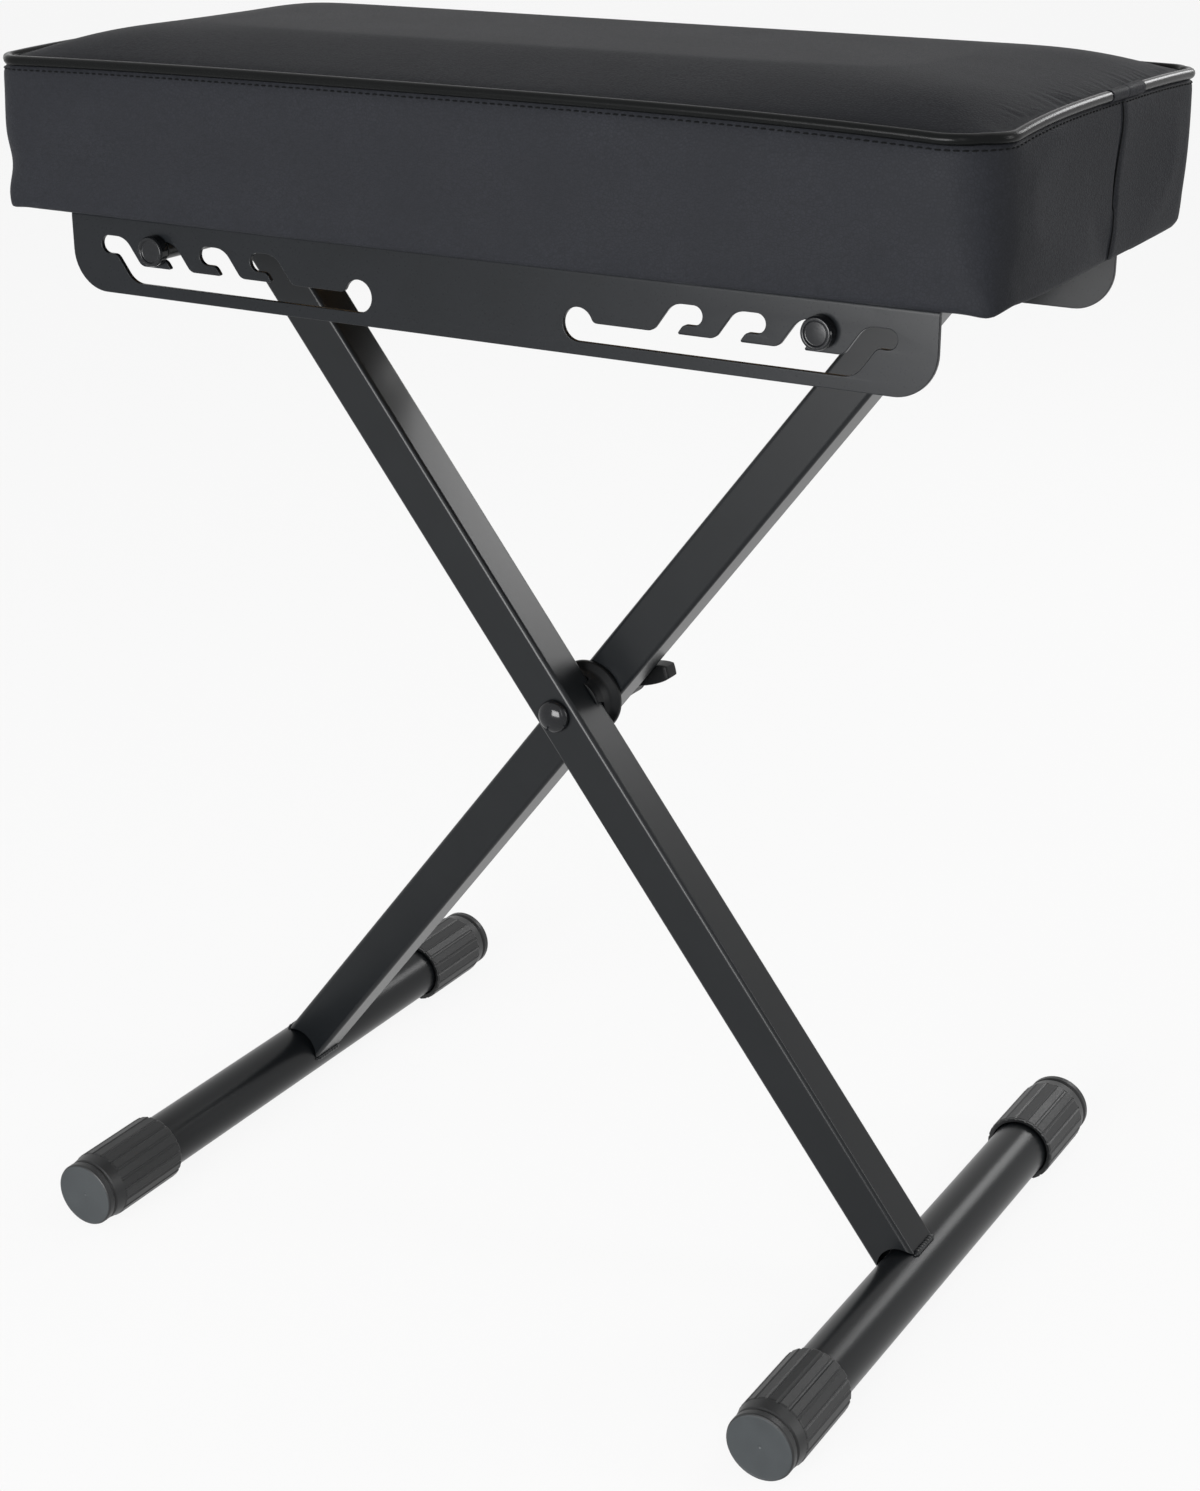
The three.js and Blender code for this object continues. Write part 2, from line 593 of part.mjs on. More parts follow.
// Legs. Each is drawn upright with the pivot at its origin, then leans over. Its lower end has a round notch,
// and stands on the foot bar with the two edges of that notch.
function makeLeg(yStart, yEnd, cutters) {
  const half = LEG_SIDE / 2;
  const square = (side, radius) => roundedOutline([
    { x: -side, y: -side, radius },
    { x: side, y: -side, radius },
    { x: side, y: side, radius },
    { x: -side, y: side, radius },
  ]);
  const section = new THREE.Shape(square(half, LEG_CORNER_RADIUS));
  section.holes.push(new THREE.Path(square(half - LEG_WALL, LEG_CORNER_RADIUS - LEG_WALL).reverse()));
  const length = LEG_LOWER + LEG_UPPER + LEG_TOP_BEYOND_ROD;
  const tube = new THREE.ExtrudeGeometry(section, { depth: length, bevelEnabled: false });
  tube.translate(0, (yStart + yEnd) / 2, -LEG_LOWER);
  const start = yStart - OVERRUN;
  const end = yEnd + OVERRUN;
  const standZ = Math.sqrt((BAR_RADIUS + CLEARANCE) ** 2 - half ** 2) - LEG_LOWER;
  const copeRadius = half + COPE_MARGIN;
  const copeZ = standZ - Math.sqrt(copeRadius ** 2 - half ** 2);
  const cope = barAlongY(copeRadius, start, end, 0, copeZ, BAR_FACETS);
  const tail = boxBetween(-LEG_SIDE, LEG_SIDE, start, end, -LEG_LOWER - OVERRUN, standZ);
  const rodHole = barAlongY(ROD_RADIUS + CLEARANCE, start, end, 0, LEG_UPPER, ROD_FACETS);
  const boltHole = barAlongY(BOLT_RADIUS + CLEARANCE, start, end, 0, 0, PIVOT_FACETS);
  return cut(tube, [cope, tail, rodHole, boltHole, ...cutters]);
}

// The rear leg's top lets go of its rod sideways: the cut lies level at rest and widens outwards.
function makeSaddle() {
  const narrow = ROD_RADIUS + CLEARANCE;
  const wide = narrow + SADDLE_FLARE;
  const outline = new THREE.Shape([
    new THREE.Vector2(0, -narrow),
    new THREE.Vector2(LEG_SIDE, -wide),
    new THREE.Vector2(LEG_SIDE, wide),
    new THREE.Vector2(0, narrow),
  ]);
  const saddle = plateInXZ(outline, LEG_SIDE + 2 * OVERRUN, legInnerFace - OVERRUN);
  return saddle.rotateY(-legAngle).translate(0, 0, LEG_UPPER);
}

function addLegs() {
  const neck = BOLT_NECK_SIDE / 2 + CLEARANCE;
  const neckHole = boxBetween(-neck, neck, -legOuterFace - OVERRUN, -legOuterFace + LEG_WALL, -neck, neck);
  const front = new THREE.Group();
  front.position.z = pivotZ;
  front.rotation.y = -legAngle;
  addPiece(front, 'front_leg', makeLeg(-legOuterFace, -legInnerFace, [neckHole]), makePaint());
  addPiece(front, 'pivot_spacer', makeSpacer(), makePlastic());
  addPiece(front, 'pivot_bolt', makeBolt(), makeBlackSteel());
  bench.add(front);

  const rear = new THREE.Group();
  rear.position.z = pivotZ;
  rear.rotation.y = legAngle;
  addPiece(rear, 'rear_leg', makeLeg(legInnerFace, legOuterFace, [makeSaddle()]), makePaint());
  bench.add(rear);
}

// Pivot. The spacer is a disc that narrows to a nose, and a channel across the nose leaves two ears that
// hold the front leg between them.
function makeSpacer() {
  const bore = BOLT_RADIUS + CLEARANCE;
  const face = legInnerFace - CLEARANCE;
  const earEnd = -legInnerFace - SPACER_EAR_LENGTH;
  const nose = turnedAlongY([
    [bore, earEnd],
    [SPACER_NOSE_RADIUS, earEnd],
    [SPACER_WAIST_RADIUS, -face],
    [SPACER_RADIUS, face - SPACER_FLANGE],
    [SPACER_RADIUS, face],
    [bore, face],
    [bore, earEnd],
  ], PIVOT_FACETS);
  const channel = LEG_SIDE / 2 + CLEARANCE;
  const seat = boxBetween(-channel, channel, earEnd - OVERRUN, -face, -SPACER_RADIUS - OVERRUN,
    SPACER_RADIUS + OVERRUN);
  return cut(nose, [seat]);
}

function makeBolt() {
  const under = -legOuterFace - CLEARANCE;
  const dome = arcPoints(0, 0, 1, -HALF_TURN / 2, 0).map((point) => [
    BOLT_HEAD_RADIUS * point.x,
    under - BOLT_HEAD_RIM + (BOLT_HEAD_HEIGHT - BOLT_HEAD_RIM) * point.y,
  ]);
  dome[0][0] = 0;
  const shank = turnedAlongY([
    ...dome,
    [BOLT_HEAD_RADIUS, under],
    [BOLT_RADIUS, under],
    [BOLT_RADIUS, boltTip],
    [0, boltTip],
  ], PIVOT_FACETS);
  const half = BOLT_NECK_SIDE / 2;
  const neckEnd = -legOuterFace + LEG_WALL - CLEARANCE;
  const neck = boxBetween(-half, half, under - BOLT_HEAD_RIM, neckEnd, -half, half);
  return join([shank, neck]);
}

// Outline of the wing knob: a round hub that swells into two opposite wings.
function knobOutline() {
  return Array.from({ length: KNOB_FACETS }, (_, i) => {
    const angle = FULL_TURN * i / KNOB_FACETS;
    const wing = Math.abs(Math.cos(angle)) ** KNOB_WING_POWER;
    const radius = KNOB_HUB_RADIUS + (KNOB_SPAN_RADIUS - KNOB_HUB_RADIUS) * wing;
    return new THREE.Vector2(radius * Math.cos(angle), radius * Math.sin(angle));
  });
}

function addPivotHardware() {
  const bore = BOLT_RADIUS + CLEARANCE;
  const washer = turnedAlongY([
    [bore, washerFace],
    [WASHER_RADIUS, washerFace],
    [WASHER_RADIUS, washerFace + WASHER_THICKNESS],
    [bore, washerFace + WASHER_THICKNESS],
    [bore, washerFace],
  ], PIVOT_FACETS);
  addPiece(bench, 'pivot_washer', washer, makeZinc()).position.z = pivotZ;

  const knob = new THREE.Group();
  knob.position.z = pivotZ;
  knob.rotation.y = -THREE.MathUtils.degToRad(KNOB_ANGLE_DEG);
  const nutEnd = knobFace + NUT_LENGTH;
  const nut = barAlongY(NUT_ACROSS_CORNERS_RADIUS, knobFace, nutEnd, 0, 0, NUT_SIDES);
  const nutBore = barAlongY(bore, knobFace - OVERRUN, nutEnd + OVERRUN, 0, 0, PIVOT_FACETS);
  addPiece(knob, 'knob_nut', cut(nut, [nutBore]), makeZinc());

  const hub = barAlongY(KNOB_HUB_RADIUS, knobFace, knobFace + KNOB_LENGTH, 0, 0, KNOB_FACETS);
  const wingFace = knobFace + KNOB_WING_RECESS;
  const wingLength = KNOB_LENGTH - 2 * KNOB_WING_RECESS;
  const wings = plateInXZ(new THREE.Shape(knobOutline()), wingLength, wingFace);
  const pocket = barAlongY(
    NUT_ACROSS_CORNERS_RADIUS + CLEARANCE,
    knobFace - OVERRUN,
    nutEnd + CLEARANCE,
    0,
    0,
    NUT_SIDES,
  );
  const tipBore = barAlongY(bore, knobFace, boltTip + CLEARANCE, 0, 0, PIVOT_FACETS);
  addPiece(knob, 'wing_knob', cut(join([hub, wings]), [pocket, tipBore]), makePlastic());
  bench.add(knob);
}

// Feet
function addFeet() {
  const tubeHalf = BAR_OVERALL / 2 - CAP_END_WALL - CLEARANCE;
  const inside = BAR_RADIUS - BAR_WALL;
  const bar = turnedAlongY([
    [inside, -tubeHalf],
    [BAR_RADIUS, -tubeHalf],
    [BAR_RADIUS, tubeHalf],
    [inside, tubeHalf],
    [inside, -tubeHalf],
  ], BAR_FACETS);
  const bore = (BAR_RADIUS + CLEARANCE) / Math.cos(HALF_TURN / CAP_FLUTES);
  const floor = CAP_LENGTH - CAP_END_WALL;
  const groove = CAP_LENGTH - CAP_RIM_HEIGHT;
  const cap = turnedAlongY([
    [0, floor],
    [bore, floor],
    [bore, 0],
    [CAP_RADIUS - CAP_MOUTH_CHAMFER, 0],
    [CAP_RADIUS, CAP_MOUTH_CHAMFER],
    [CAP_RADIUS, groove - CAP_RIM_HEIGHT],
    [CAP_RIM_RADIUS, groove],
    [CAP_RIM_RADIUS - CAP_GROOVE_DEPTH, groove + CAP_GROOVE_DEPTH],
    [CAP_RIM_RADIUS, groove + CAP_GROOVE_DEPTH * 2],
    [CAP_RIM_RADIUS, CAP_LENGTH - CAP_MOUTH_CHAMFER],
    [CAP_RIM_RADIUS - CAP_MOUTH_CHAMFER, CAP_LENGTH],
    [0, CAP_LENGTH],
  ], CAP_FLUTES);
  const start = BAR_OVERALL / 2 - CAP_LENGTH;
  [['right', barX, -BAR_SHIFT], ['left', -barX, BAR_SHIFT]].forEach(([side, x, y]) => {
    addPiece(bench, `${side}_foot_bar`, bar.clone(), makePaint()).position.set(x, y, barZ);
    addPiece(bench, `${side}_foot_cap_rear`, cap.clone(), makeRubber()).position.set(x, y + start, barZ);
    const front = addPiece(bench, `${side}_foot_cap_front`, cap.clone(), makeRubber());
    front.position.set(x, y - start, barZ);
    front.rotation.z = HALF_TURN;
  });
}

addSeat();
addRails();
addRods();
addLegs();
addPivotHardware();
addFeet();

export default bench;
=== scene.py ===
# Folding keyboard bench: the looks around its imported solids.
# Every shape is drawn in millimetres in the solids' own frame, and brought to metres by MM.
import json
import math
from collections import namedtuple

import bmesh
import bpy
from mathutils import Matrix, Vector, noise
from mathutils.bvhtree import BVHTree
from mathutils.geometry import tessellate_polygon


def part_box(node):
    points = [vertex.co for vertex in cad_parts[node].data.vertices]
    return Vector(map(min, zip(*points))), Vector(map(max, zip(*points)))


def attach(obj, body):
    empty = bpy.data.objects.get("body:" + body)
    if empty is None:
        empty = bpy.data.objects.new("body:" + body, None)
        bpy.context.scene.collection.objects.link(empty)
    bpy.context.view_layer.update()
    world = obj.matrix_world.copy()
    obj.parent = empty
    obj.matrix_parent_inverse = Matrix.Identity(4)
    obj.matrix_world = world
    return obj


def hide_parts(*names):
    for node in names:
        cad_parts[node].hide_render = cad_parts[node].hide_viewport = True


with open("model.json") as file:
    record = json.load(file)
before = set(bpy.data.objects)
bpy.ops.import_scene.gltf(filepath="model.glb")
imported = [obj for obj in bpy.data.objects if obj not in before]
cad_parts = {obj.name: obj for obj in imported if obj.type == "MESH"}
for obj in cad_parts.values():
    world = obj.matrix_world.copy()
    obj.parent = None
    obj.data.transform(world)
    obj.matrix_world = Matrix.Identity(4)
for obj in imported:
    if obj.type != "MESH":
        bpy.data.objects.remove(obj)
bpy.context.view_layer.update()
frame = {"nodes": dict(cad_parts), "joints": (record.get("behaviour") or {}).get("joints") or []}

MM = 0.001
QUARTER = math.pi / 2
FULL_TURN = 2 * math.pi


def solid_box(node):
    """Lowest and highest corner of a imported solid, in millimetres."""
    low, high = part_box(node)
    return low / MM, high / MM


joint_places = {joint["name"]: Vector(joint["pos_m"]) / MM for joint in frame["joints"]}
PIVOT = joint_places["leg_scissor"]
LEFT_ROD = joint_places["frame_fold"]
LEG_ANGLE = math.atan2(-LEFT_ROD.x, LEFT_ROD.z - PIVOT.z)
front_lean = Matrix.Translation((0, 0, PIVOT.z)) @ Matrix.Rotation(-LEG_ANGLE, 4, "Y")
rear_lean = Matrix.Translation((0, 0, PIVOT.z)) @ Matrix.Rotation(LEG_ANGLE, 4, "Y")


# Camera, as the edges of the legs, rails and bars in the photograph place it
CAMERA_PLACE = Vector((527.94, -869.0, 613.2))
CAMERA_YAW = math.radians(30.924)
CAMERA_PITCH = math.radians(21.555)
CAMERA_ROLL = math.radians(-0.111)
FOCAL_PIXELS = 2568.87
FRAME_PIXELS = 1491
SENSOR = 36.0
# In metres, beyond the far edge of the floor
FAR_CLIP = 50.0

camera_data = bpy.data.cameras.new("bench_camera")
camera_data.sensor_fit = "VERTICAL"
camera_data.sensor_height = SENSOR
camera_data.lens = SENSOR * FOCAL_PIXELS / FRAME_PIXELS
camera_data.clip_end = FAR_CLIP
camera = bpy.data.objects.new("bench_camera", camera_data)
bpy.context.scene.collection.objects.link(camera)
camera.matrix_world = (
    Matrix.Translation(CAMERA_PLACE * MM)
    @ Matrix.Rotation(CAMERA_YAW, 4, "Z")
    @ Matrix.Rotation(QUARTER - CAMERA_PITCH, 4, "X")
    @ Matrix.Rotation(CAMERA_ROLL, 4, "Z")
)
bpy.context.scene.camera = camera


# Materials
def linear(hex_colour):
    """An sRGB hex colour as linear red, green, blue and alpha."""
    shares = [int(hex_colour[i:i + 2], 16) / 255 for i in (1, 3, 5)]
    return [s / 12.92 if s <= 0.04045 else ((s + 0.055) / 1.055) ** 2.4 for s in shares] + [1.0]


def per_metre(size):
    """Pattern scale whose features are about size millimetres wide."""
    return 1 / (size * MM)


def add_node(tree, kind, inputs=None, **settings):
    """Adds a node with its settings. An input is a value, or the output socket that feeds it."""
    node = tree.nodes.new(kind)
    for name, value in settings.items():
        setattr(node, name, value)
    for name, value in (inputs or {}).items():
        if isinstance(value, bpy.types.NodeSocket):
            tree.links.new(value, node.inputs[name])
        else:
            node.inputs[name].default_value = value
    return node


def start_finish(name, **surface_values):
    """A material with its shader, the object's own coordinates, and the uniform values set."""
    finish = bpy.data.materials.new(name)
    finish.use_nodes = True
    tree = finish.node_tree
    surface = tree.nodes["Principled BSDF"]
    for socket, value in surface_values.items():
        surface.inputs[socket.replace("_", " ")].default_value = value
    place = add_node(tree, "ShaderNodeTexCoord").outputs["Object"]
    return finish, tree, surface, place


def lead_to_shader(tree, surface, colour, bump, gloss=None):
    """Leads a finish's colour, bump and gloss patterns into its shader."""
    tree.links.new(colour.outputs[2], surface.inputs["Base Color"])
    tree.links.new(bump.outputs["Normal"], surface.inputs["Normal"])
    if gloss:
        tree.links.new(gloss.outputs["Result"], surface.inputs["Roughness"])


def powder_coat(name, low, high, roughness, gleam):
    """Satin black polyester powder, sprayed and baked: a fine orange-peel that breaks highlights up."""
    finish, tree, surface, place = start_finish(name, IOR=1.5, Specular_IOR_Level=gleam)
    peel = add_node(tree, "ShaderNodeTexNoise", {"Vector": place, "Scale": per_metre(1.1), "Detail": 3.0})
    cloud = add_node(tree, "ShaderNodeTexNoise", {"Vector": place, "Scale": per_metre(26), "Detail": 2.0})
    colour = add_node(tree, "ShaderNodeMix", {0: cloud.outputs["Fac"], 6: linear(low), 7: linear(high)},
                      data_type="RGBA")
    gloss = add_node(tree, "ShaderNodeMapRange", {
        "Value": peel.outputs["Fac"], "To Min": roughness - 0.02, "To Max": roughness + 0.02})
    bump = add_node(tree, "ShaderNodeBump", {
        "Height": peel.outputs["Fac"], "Strength": 0.02, "Distance": 0.3 * MM})
    lead_to_shader(tree, surface, colour, bump, gloss)
    return finish


def embossed_vinyl(name, low, high, roughness, gleam, grain, depth):
    """Knit-backed vinyl, embossed as leather: cells parted by fine creases, satin on their tops, with painted
    shade darkening the creases.
    """
    finish, tree, surface, place = start_finish(name, IOR=1.46, Specular_IOR_Level=gleam)
    cells = add_node(tree, "ShaderNodeTexVoronoi", {"Vector": place, "Scale": per_metre(grain)},
                     feature="DISTANCE_TO_EDGE")
    pebbles = add_node(tree, "ShaderNodeTexNoise", {
        "Vector": place, "Scale": per_metre(grain * 1.7), "Detail": 4.0, "Roughness": 0.6})
    cloud = add_node(tree, "ShaderNodeTexNoise", {"Vector": place, "Scale": per_metre(34), "Detail": 3.0})
    crease_depth_and_shade = add_node(tree, "ShaderNodeMapRange", {"Value": cells.outputs["Distance"], "From Max": 0.18})
    height = add_node(tree, "ShaderNodeMath", {
        0: crease_depth_and_shade.outputs["Result"], 1: pebbles.outputs["Fac"]}, operation="MULTIPLY")
    bump = add_node(tree, "ShaderNodeBump", {
        "Height": height.outputs["Value"], "Strength": depth, "Distance": 0.25 * MM})
    # The tone is darkest in the creases, which is painted shade, and is clouded at random
    tone = add_node(tree, "ShaderNodeMath", {
        0: height.outputs["Value"], 1: cloud.outputs["Fac"]}, operation="MULTIPLY")
    colour = add_node(tree, "ShaderNodeMix", {0: tone.outputs["Value"], 6: linear(low), 7: linear(high)},
                      data_type="RGBA")
    gloss = add_node(tree, "ShaderNodeMapRange", {
        "Value": tone.outputs["Value"], "To Min": roughness + 0.06, "To Max": roughness - 0.06})
    lead_to_shader(tree, surface, colour, bump, gloss)
    return finish


def fine_textured(name, low, high, roughness, grit, depth, gleam=0.5, metal=0.0):
    """A surface whose tone, gloss and height all follow one fine grit, as moulding or plating leaves."""
    finish, tree, surface, place = start_finish(name, Metallic=metal, Specular_IOR_Level=gleam)
    speckle = add_node(tree, "ShaderNodeTexNoise", {
        "Vector": place, "Scale": per_metre(grit), "Detail": 4.0, "Roughness": 0.6})
    cloud = add_node(tree, "ShaderNodeTexNoise", {"Vector": place, "Scale": per_metre(grit * 16)})
    share = add_node(tree, "ShaderNodeMath", {
        0: speckle.outputs["Fac"], 1: cloud.outputs["Fac"]}, operation="MULTIPLY")
    colour = add_node(tree, "ShaderNodeMix", {0: cloud.outputs["Fac"], 6: linear(low), 7: linear(high)},
                      data_type="RGBA")
    gloss = add_node(tree, "ShaderNodeMapRange", {
        "Value": share.outputs["Value"], "To Min": roughness - 0.07, "To Max": roughness + 0.12})
    bump = add_node(tree, "ShaderNodeBump", {
        "Height": speckle.outputs["Fac"], "Strength": depth, "Distance": 0.2 * MM})
    lead_to_shader(tree, surface, colour, bump, gloss)
    return finish


PLY_THICKNESS = 1.5


def poplar_plywood():
    """Raw poplar ply: pale growth bands on its faces, and thin glued layers where it is cut."""
    finish, tree, surface, place = start_finish("poplar_plywood", Roughness=0.72)
    along = add_node(tree, "ShaderNodeMapping", {"Vector": place, "Scale": (0.06, 1.0, 1.0)})
    bands = add_node(tree, "ShaderNodeTexNoise", {
        "Vector": along.outputs["Vector"], "Scale": per_metre(6), "Detail": 6.0, "Distortion": 0.6})
    fibres = add_node(tree, "ShaderNodeTexNoise", {
        "Vector": along.outputs["Vector"], "Scale": per_metre(0.7), "Detail": 3.0})
    height = add_node(tree, "ShaderNodeSeparateXYZ", {"Vector": place})
    layers = add_node(tree, "ShaderNodeMath", {
        0: height.outputs["Z"], 1: per_metre(PLY_THICKNESS)}, operation="MULTIPLY")
    glue = add_node(tree, "ShaderNodeMath", {0: layers.outputs["Value"], 1: 2.0}, operation="PINGPONG")
    tone = add_node(tree, "ShaderNodeMath", {0: bands.outputs["Fac"], 1: glue.outputs["Value"]},
                    operation="MULTIPLY")
    colour = add_node(tree, "ShaderNodeMix", {
        0: tone.outputs["Value"], 6: linear("#8c6a42"), 7: linear("#c9a878")}, data_type="RGBA")
    bump = add_node(tree, "ShaderNodeBump", {
        "Height": fibres.outputs["Fac"], "Strength": 0.3, "Distance": 0.3 * MM})
    lead_to_shader(tree, surface, colour, bump)
    return finish


LEG_PAINT = powder_coat("powder_coated_tube", "#0d0f11", "#121416", 0.3, 0.22)
RAIL_PAINT = powder_coat("powder_coated_sheet", "#111315", "#15171a", 0.28, 0.17)
# The real emboss is about half a millimetre wide, too fine to show, so it is drawn at 1.3
COVER_VINYL = embossed_vinyl("embossed_vinyl", "#1f2023", "#2c2d32", 0.48, 0.04, 1.3, 0.4)
PIPING_VINYL = embossed_vinyl("smooth_piping_vinyl", "#090a0a", "#0f1011", 0.2, 0.1, 0.9, 0.08)
# Moulded rubber, dull and slightly clouded
FOOT_RUBBER = fine_textured("moulded_rubber", "#121314", "#1a1b1c", 0.45, 0.8, 0.2, gleam=0.35)
# The same rubber on the end faces, painted a lighter grey as a painted reflection of the front light and the
# pale floor on them
END_RUBBER_PAINTED_SHEEN = fine_textured("rubber_with_painted_end_sheen", "#282b2d", "#333739", 0.42, 0.8, 0.12, gleam=0.3)
# Glass-filled nylon, moulded with a light spark texture
KNOB_NYLON = fine_textured("moulded_nylon", "#0e0f10", "#151617", 0.42, 0.7, 0.15, gleam=0.12)
# Black-oxide steel under a film of oil: dark, with tight bright highlights
OXIDE_STEEL = fine_textured("black_oxide_steel", "#101113", "#17181a", 0.17, 1.2, 0.02, gleam=0.25)
# Bright zinc plating: a cool grey metal, clouded in patches
ZINC_PLATE = fine_textured("zinc_plated_steel", "#9ea1a4", "#c3c6c8", 0.26, 0.5, 0.12, metal=1.0)
# Bonded polyester thread, twisted tight: darker and duller than the vinyl round it. It also colours the dark
# cord in the band's seam groove, which is painted shade
THREAD_AND_SEAM_SHADE = fine_textured("bonded_thread_and_seam_shade", "#08090a", "#0e0f10", 0.6, 0.3, 0.3, gleam=0.05)
PLYWOOD = poplar_plywood()

# The nodes that stay as packed, inside the seat and the knob
shown_nodes = {"seat_board": PLYWOOD, "knob_nut": ZINC_PLATE}
shown_nodes.update({f"tee_nut_{number}": ZINC_PLATE for number in range(1, 7)})
for node, finish in shown_nodes.items():
    for material_slot in frame["nodes"][node].material_slots:
        material_slot.material = finish


# Mesh tools
def rounded(corners, closed=True, turn=math.radians(10)):
    """Points of an outline of (x, y, radius) corners, each rounded in steps of at most turn."""
    places = [Vector(corner[:2]) for corner in corners]
    count = len(corners)
    points = []
    for i, (_, _, radius) in enumerate(corners):
        if radius == 0 or (not closed and i in (0, count - 1)):
            points.append(places[i])
            continue
        before = places[i - 1] - places[i]
        after = places[(i + 1) % count] - places[i]
        half = before.angle(after) / 2
        fitted = min(radius, min(before.length, after.length) * math.tan(half))
        back, on = before.normalized(), after.normalized()
        centre = places[i] + (back + on).normalized() * (fitted / math.sin(half))
        start = places[i] + back * (fitted / math.tan(half)) - centre
        end = places[i] + on * (fitted / math.tan(half)) - centre
        first = math.atan2(start.y, start.x)
        sweep = (math.atan2(end.y, end.x) - first + math.pi) % FULL_TURN - math.pi
        steps = max(2, math.ceil(abs(sweep) / turn))
        for k in range(steps + 1):
            angle = first + sweep * k / steps
            points.append(centre + Vector((math.cos(angle), math.sin(angle))) * fitted)
    return points


def skin_between(shape, lower, upper):
    """Faces between two rings of a shape. A ring of one point is a tip."""
    count = max(len(lower), len(upper))
    for i in range(count):
        j = (i + 1) % count
        around = [lower[i % len(lower)], lower[j % len(lower)], upper[j % len(upper)],
                  upper[i % len(upper)]]
        shape.faces.new(list(dict.fromkeys(around)))


def loft(rings, looped=False):
    """A closed skin over rings of equally many points, or of one point where they come to a tip."""
    shape = bmesh.new()
    made = [[shape.verts.new(point) for point in ring] for ring in rings]
    pairs = list(zip(made, made[1:])) + ([(made[-1], made[0])] if looped else [])
    for lower, upper in pairs:
        skin_between(shape, lower, upper)
    if not looped:
        for ring in (made[0], made[-1]):
            if len(ring) > 2:
                shape.faces.new(ring)
    bmesh.ops.recalc_face_normals(shape, faces=shape.faces)
    return shape


def angles_round(steps):
    return [FULL_TURN * i / steps for i in range(steps)]


def round_ring(radius, place, steps):
    """A ring round the Y axis at a place along it, or only a tip where the radius is nothing."""
    if abs(radius) < 1e-6:
        return [Vector((0, place, 0))]
    return [Vector((radius * math.sin(a), place, radius * math.cos(a))) for a in angles_round(steps)]


def turned(profile, steps=96, looped=False):
    """A skin turned round the Y axis from points of radius and place along it."""
    return loft([round_ring(radius, place, steps) for radius, place in profile], looped)


def inward(loop):
    """For each point of a counterclockwise loop, the step that moves both its edges in by one."""
    count = len(loop)
    steps = []
    for i in range(count):
        before = (loop[i] - loop[i - 1]).normalized()
        after = (loop[(i + 1) % count] - loop[i]).normalized()
        first = Vector((-before.y, before.x))
        second = Vector((-after.y, after.x))
        steps.append((first + second) / (1 + first.dot(second)))
    return steps


def plate(loops, thickness, edge, edge_steps=3):
    """A plate drawn in XY with its lower face at Z 0: an outline, its holes clockwise, and rounded edges."""
    shape = bmesh.new()
    turns = [QUARTER * k / edge_steps for k in range(edge_steps + 1)]
    lower = [(edge * (1 - math.sin(t)), edge * (1 - math.cos(t))) for t in turns]
    layers = lower + [(inset, thickness - height) for inset, height in reversed(lower)]
    ends = ([], [])
    for loop in loops:
        steps = inward(loop)
        rings = []
        for inset, height in layers:
            places = [point + step * inset for point, step in zip(loop, steps)]
            rings.append([shape.verts.new((p.x, p.y, height)) for p in places])
        for below, above in zip(rings, rings[1:]):
            skin_between(shape, below, above)
        ends[0].append(rings[0])
        ends[1].append(rings[-1])
    for rings in ends:
        flat = [vert for ring in rings for vert in ring]
        for triangle in tessellate_polygon([[vert.co for vert in ring] for ring in rings]):
            shape.faces.new([flat[i] for i in triangle])
    bmesh.ops.recalc_face_normals(shape, faces=shape.faces)
    return shape


def as_object(name, shape):
    """An object at the origin that holds a bmesh, which is used up."""
    mesh = bpy.data.meshes.new(name)
    shape.to_mesh(mesh)
    shape.free()
    made = bpy.data.objects.new(name, mesh)
    bpy.context.scene.collection.objects.link(made)
    return made


def final_shape(made):
    """The bmesh of an object with its modifiers applied. The object is used up."""
    bpy.context.view_layer.update()
    evaluated = made.evaluated_get(bpy.context.evaluated_depsgraph_get())
    shape = bmesh.new()
    shape.from_mesh(evaluated.to_mesh())
    bpy.data.objects.remove(made)
    return shape


def cut(shape, tools):
    """A shape with each tool cut out of it. The tools are used up."""
    for tool in tools:
        body = as_object("body", shape)
        other = as_object("tool", tool)
        boolean = body.modifiers.new("boolean", "BOOLEAN")
        boolean.operation = "DIFFERENCE"
        boolean.solver = "EXACT"
        boolean.object = other
        shape = final_shape(body)
        bpy.data.objects.remove(other)
    return shape


def gathered(shapes):
    """Several separate skins in one shape."""
    whole = bmesh.new()
    for shape in shapes:
        part = bpy.data.meshes.new("part")
        shape.to_mesh(part)
        shape.free()
        whole.from_mesh(part)
        bpy.data.meshes.remove(part)
    return whole


def box_shape(low, high):
    """A plain box between two corners, for cutting with."""
    shape = bmesh.new()
    bmesh.ops.create_cube(shape, size=1)
    low, high = Vector(low), Vector(high)
    shape.transform(Matrix.Translation((low + high) / 2) @ Matrix.Diagonal((high - low).to_4d()))
    return shape


def bar_shape(radius, start, end, x, z, steps=64):
    """A plain bar along Y, for cutting with."""
    shape = turned([(0, start), (radius, start), (radius, end), (0, end)], steps)
    shape.transform(Matrix.Translation((x, 0, z)))
    return shape


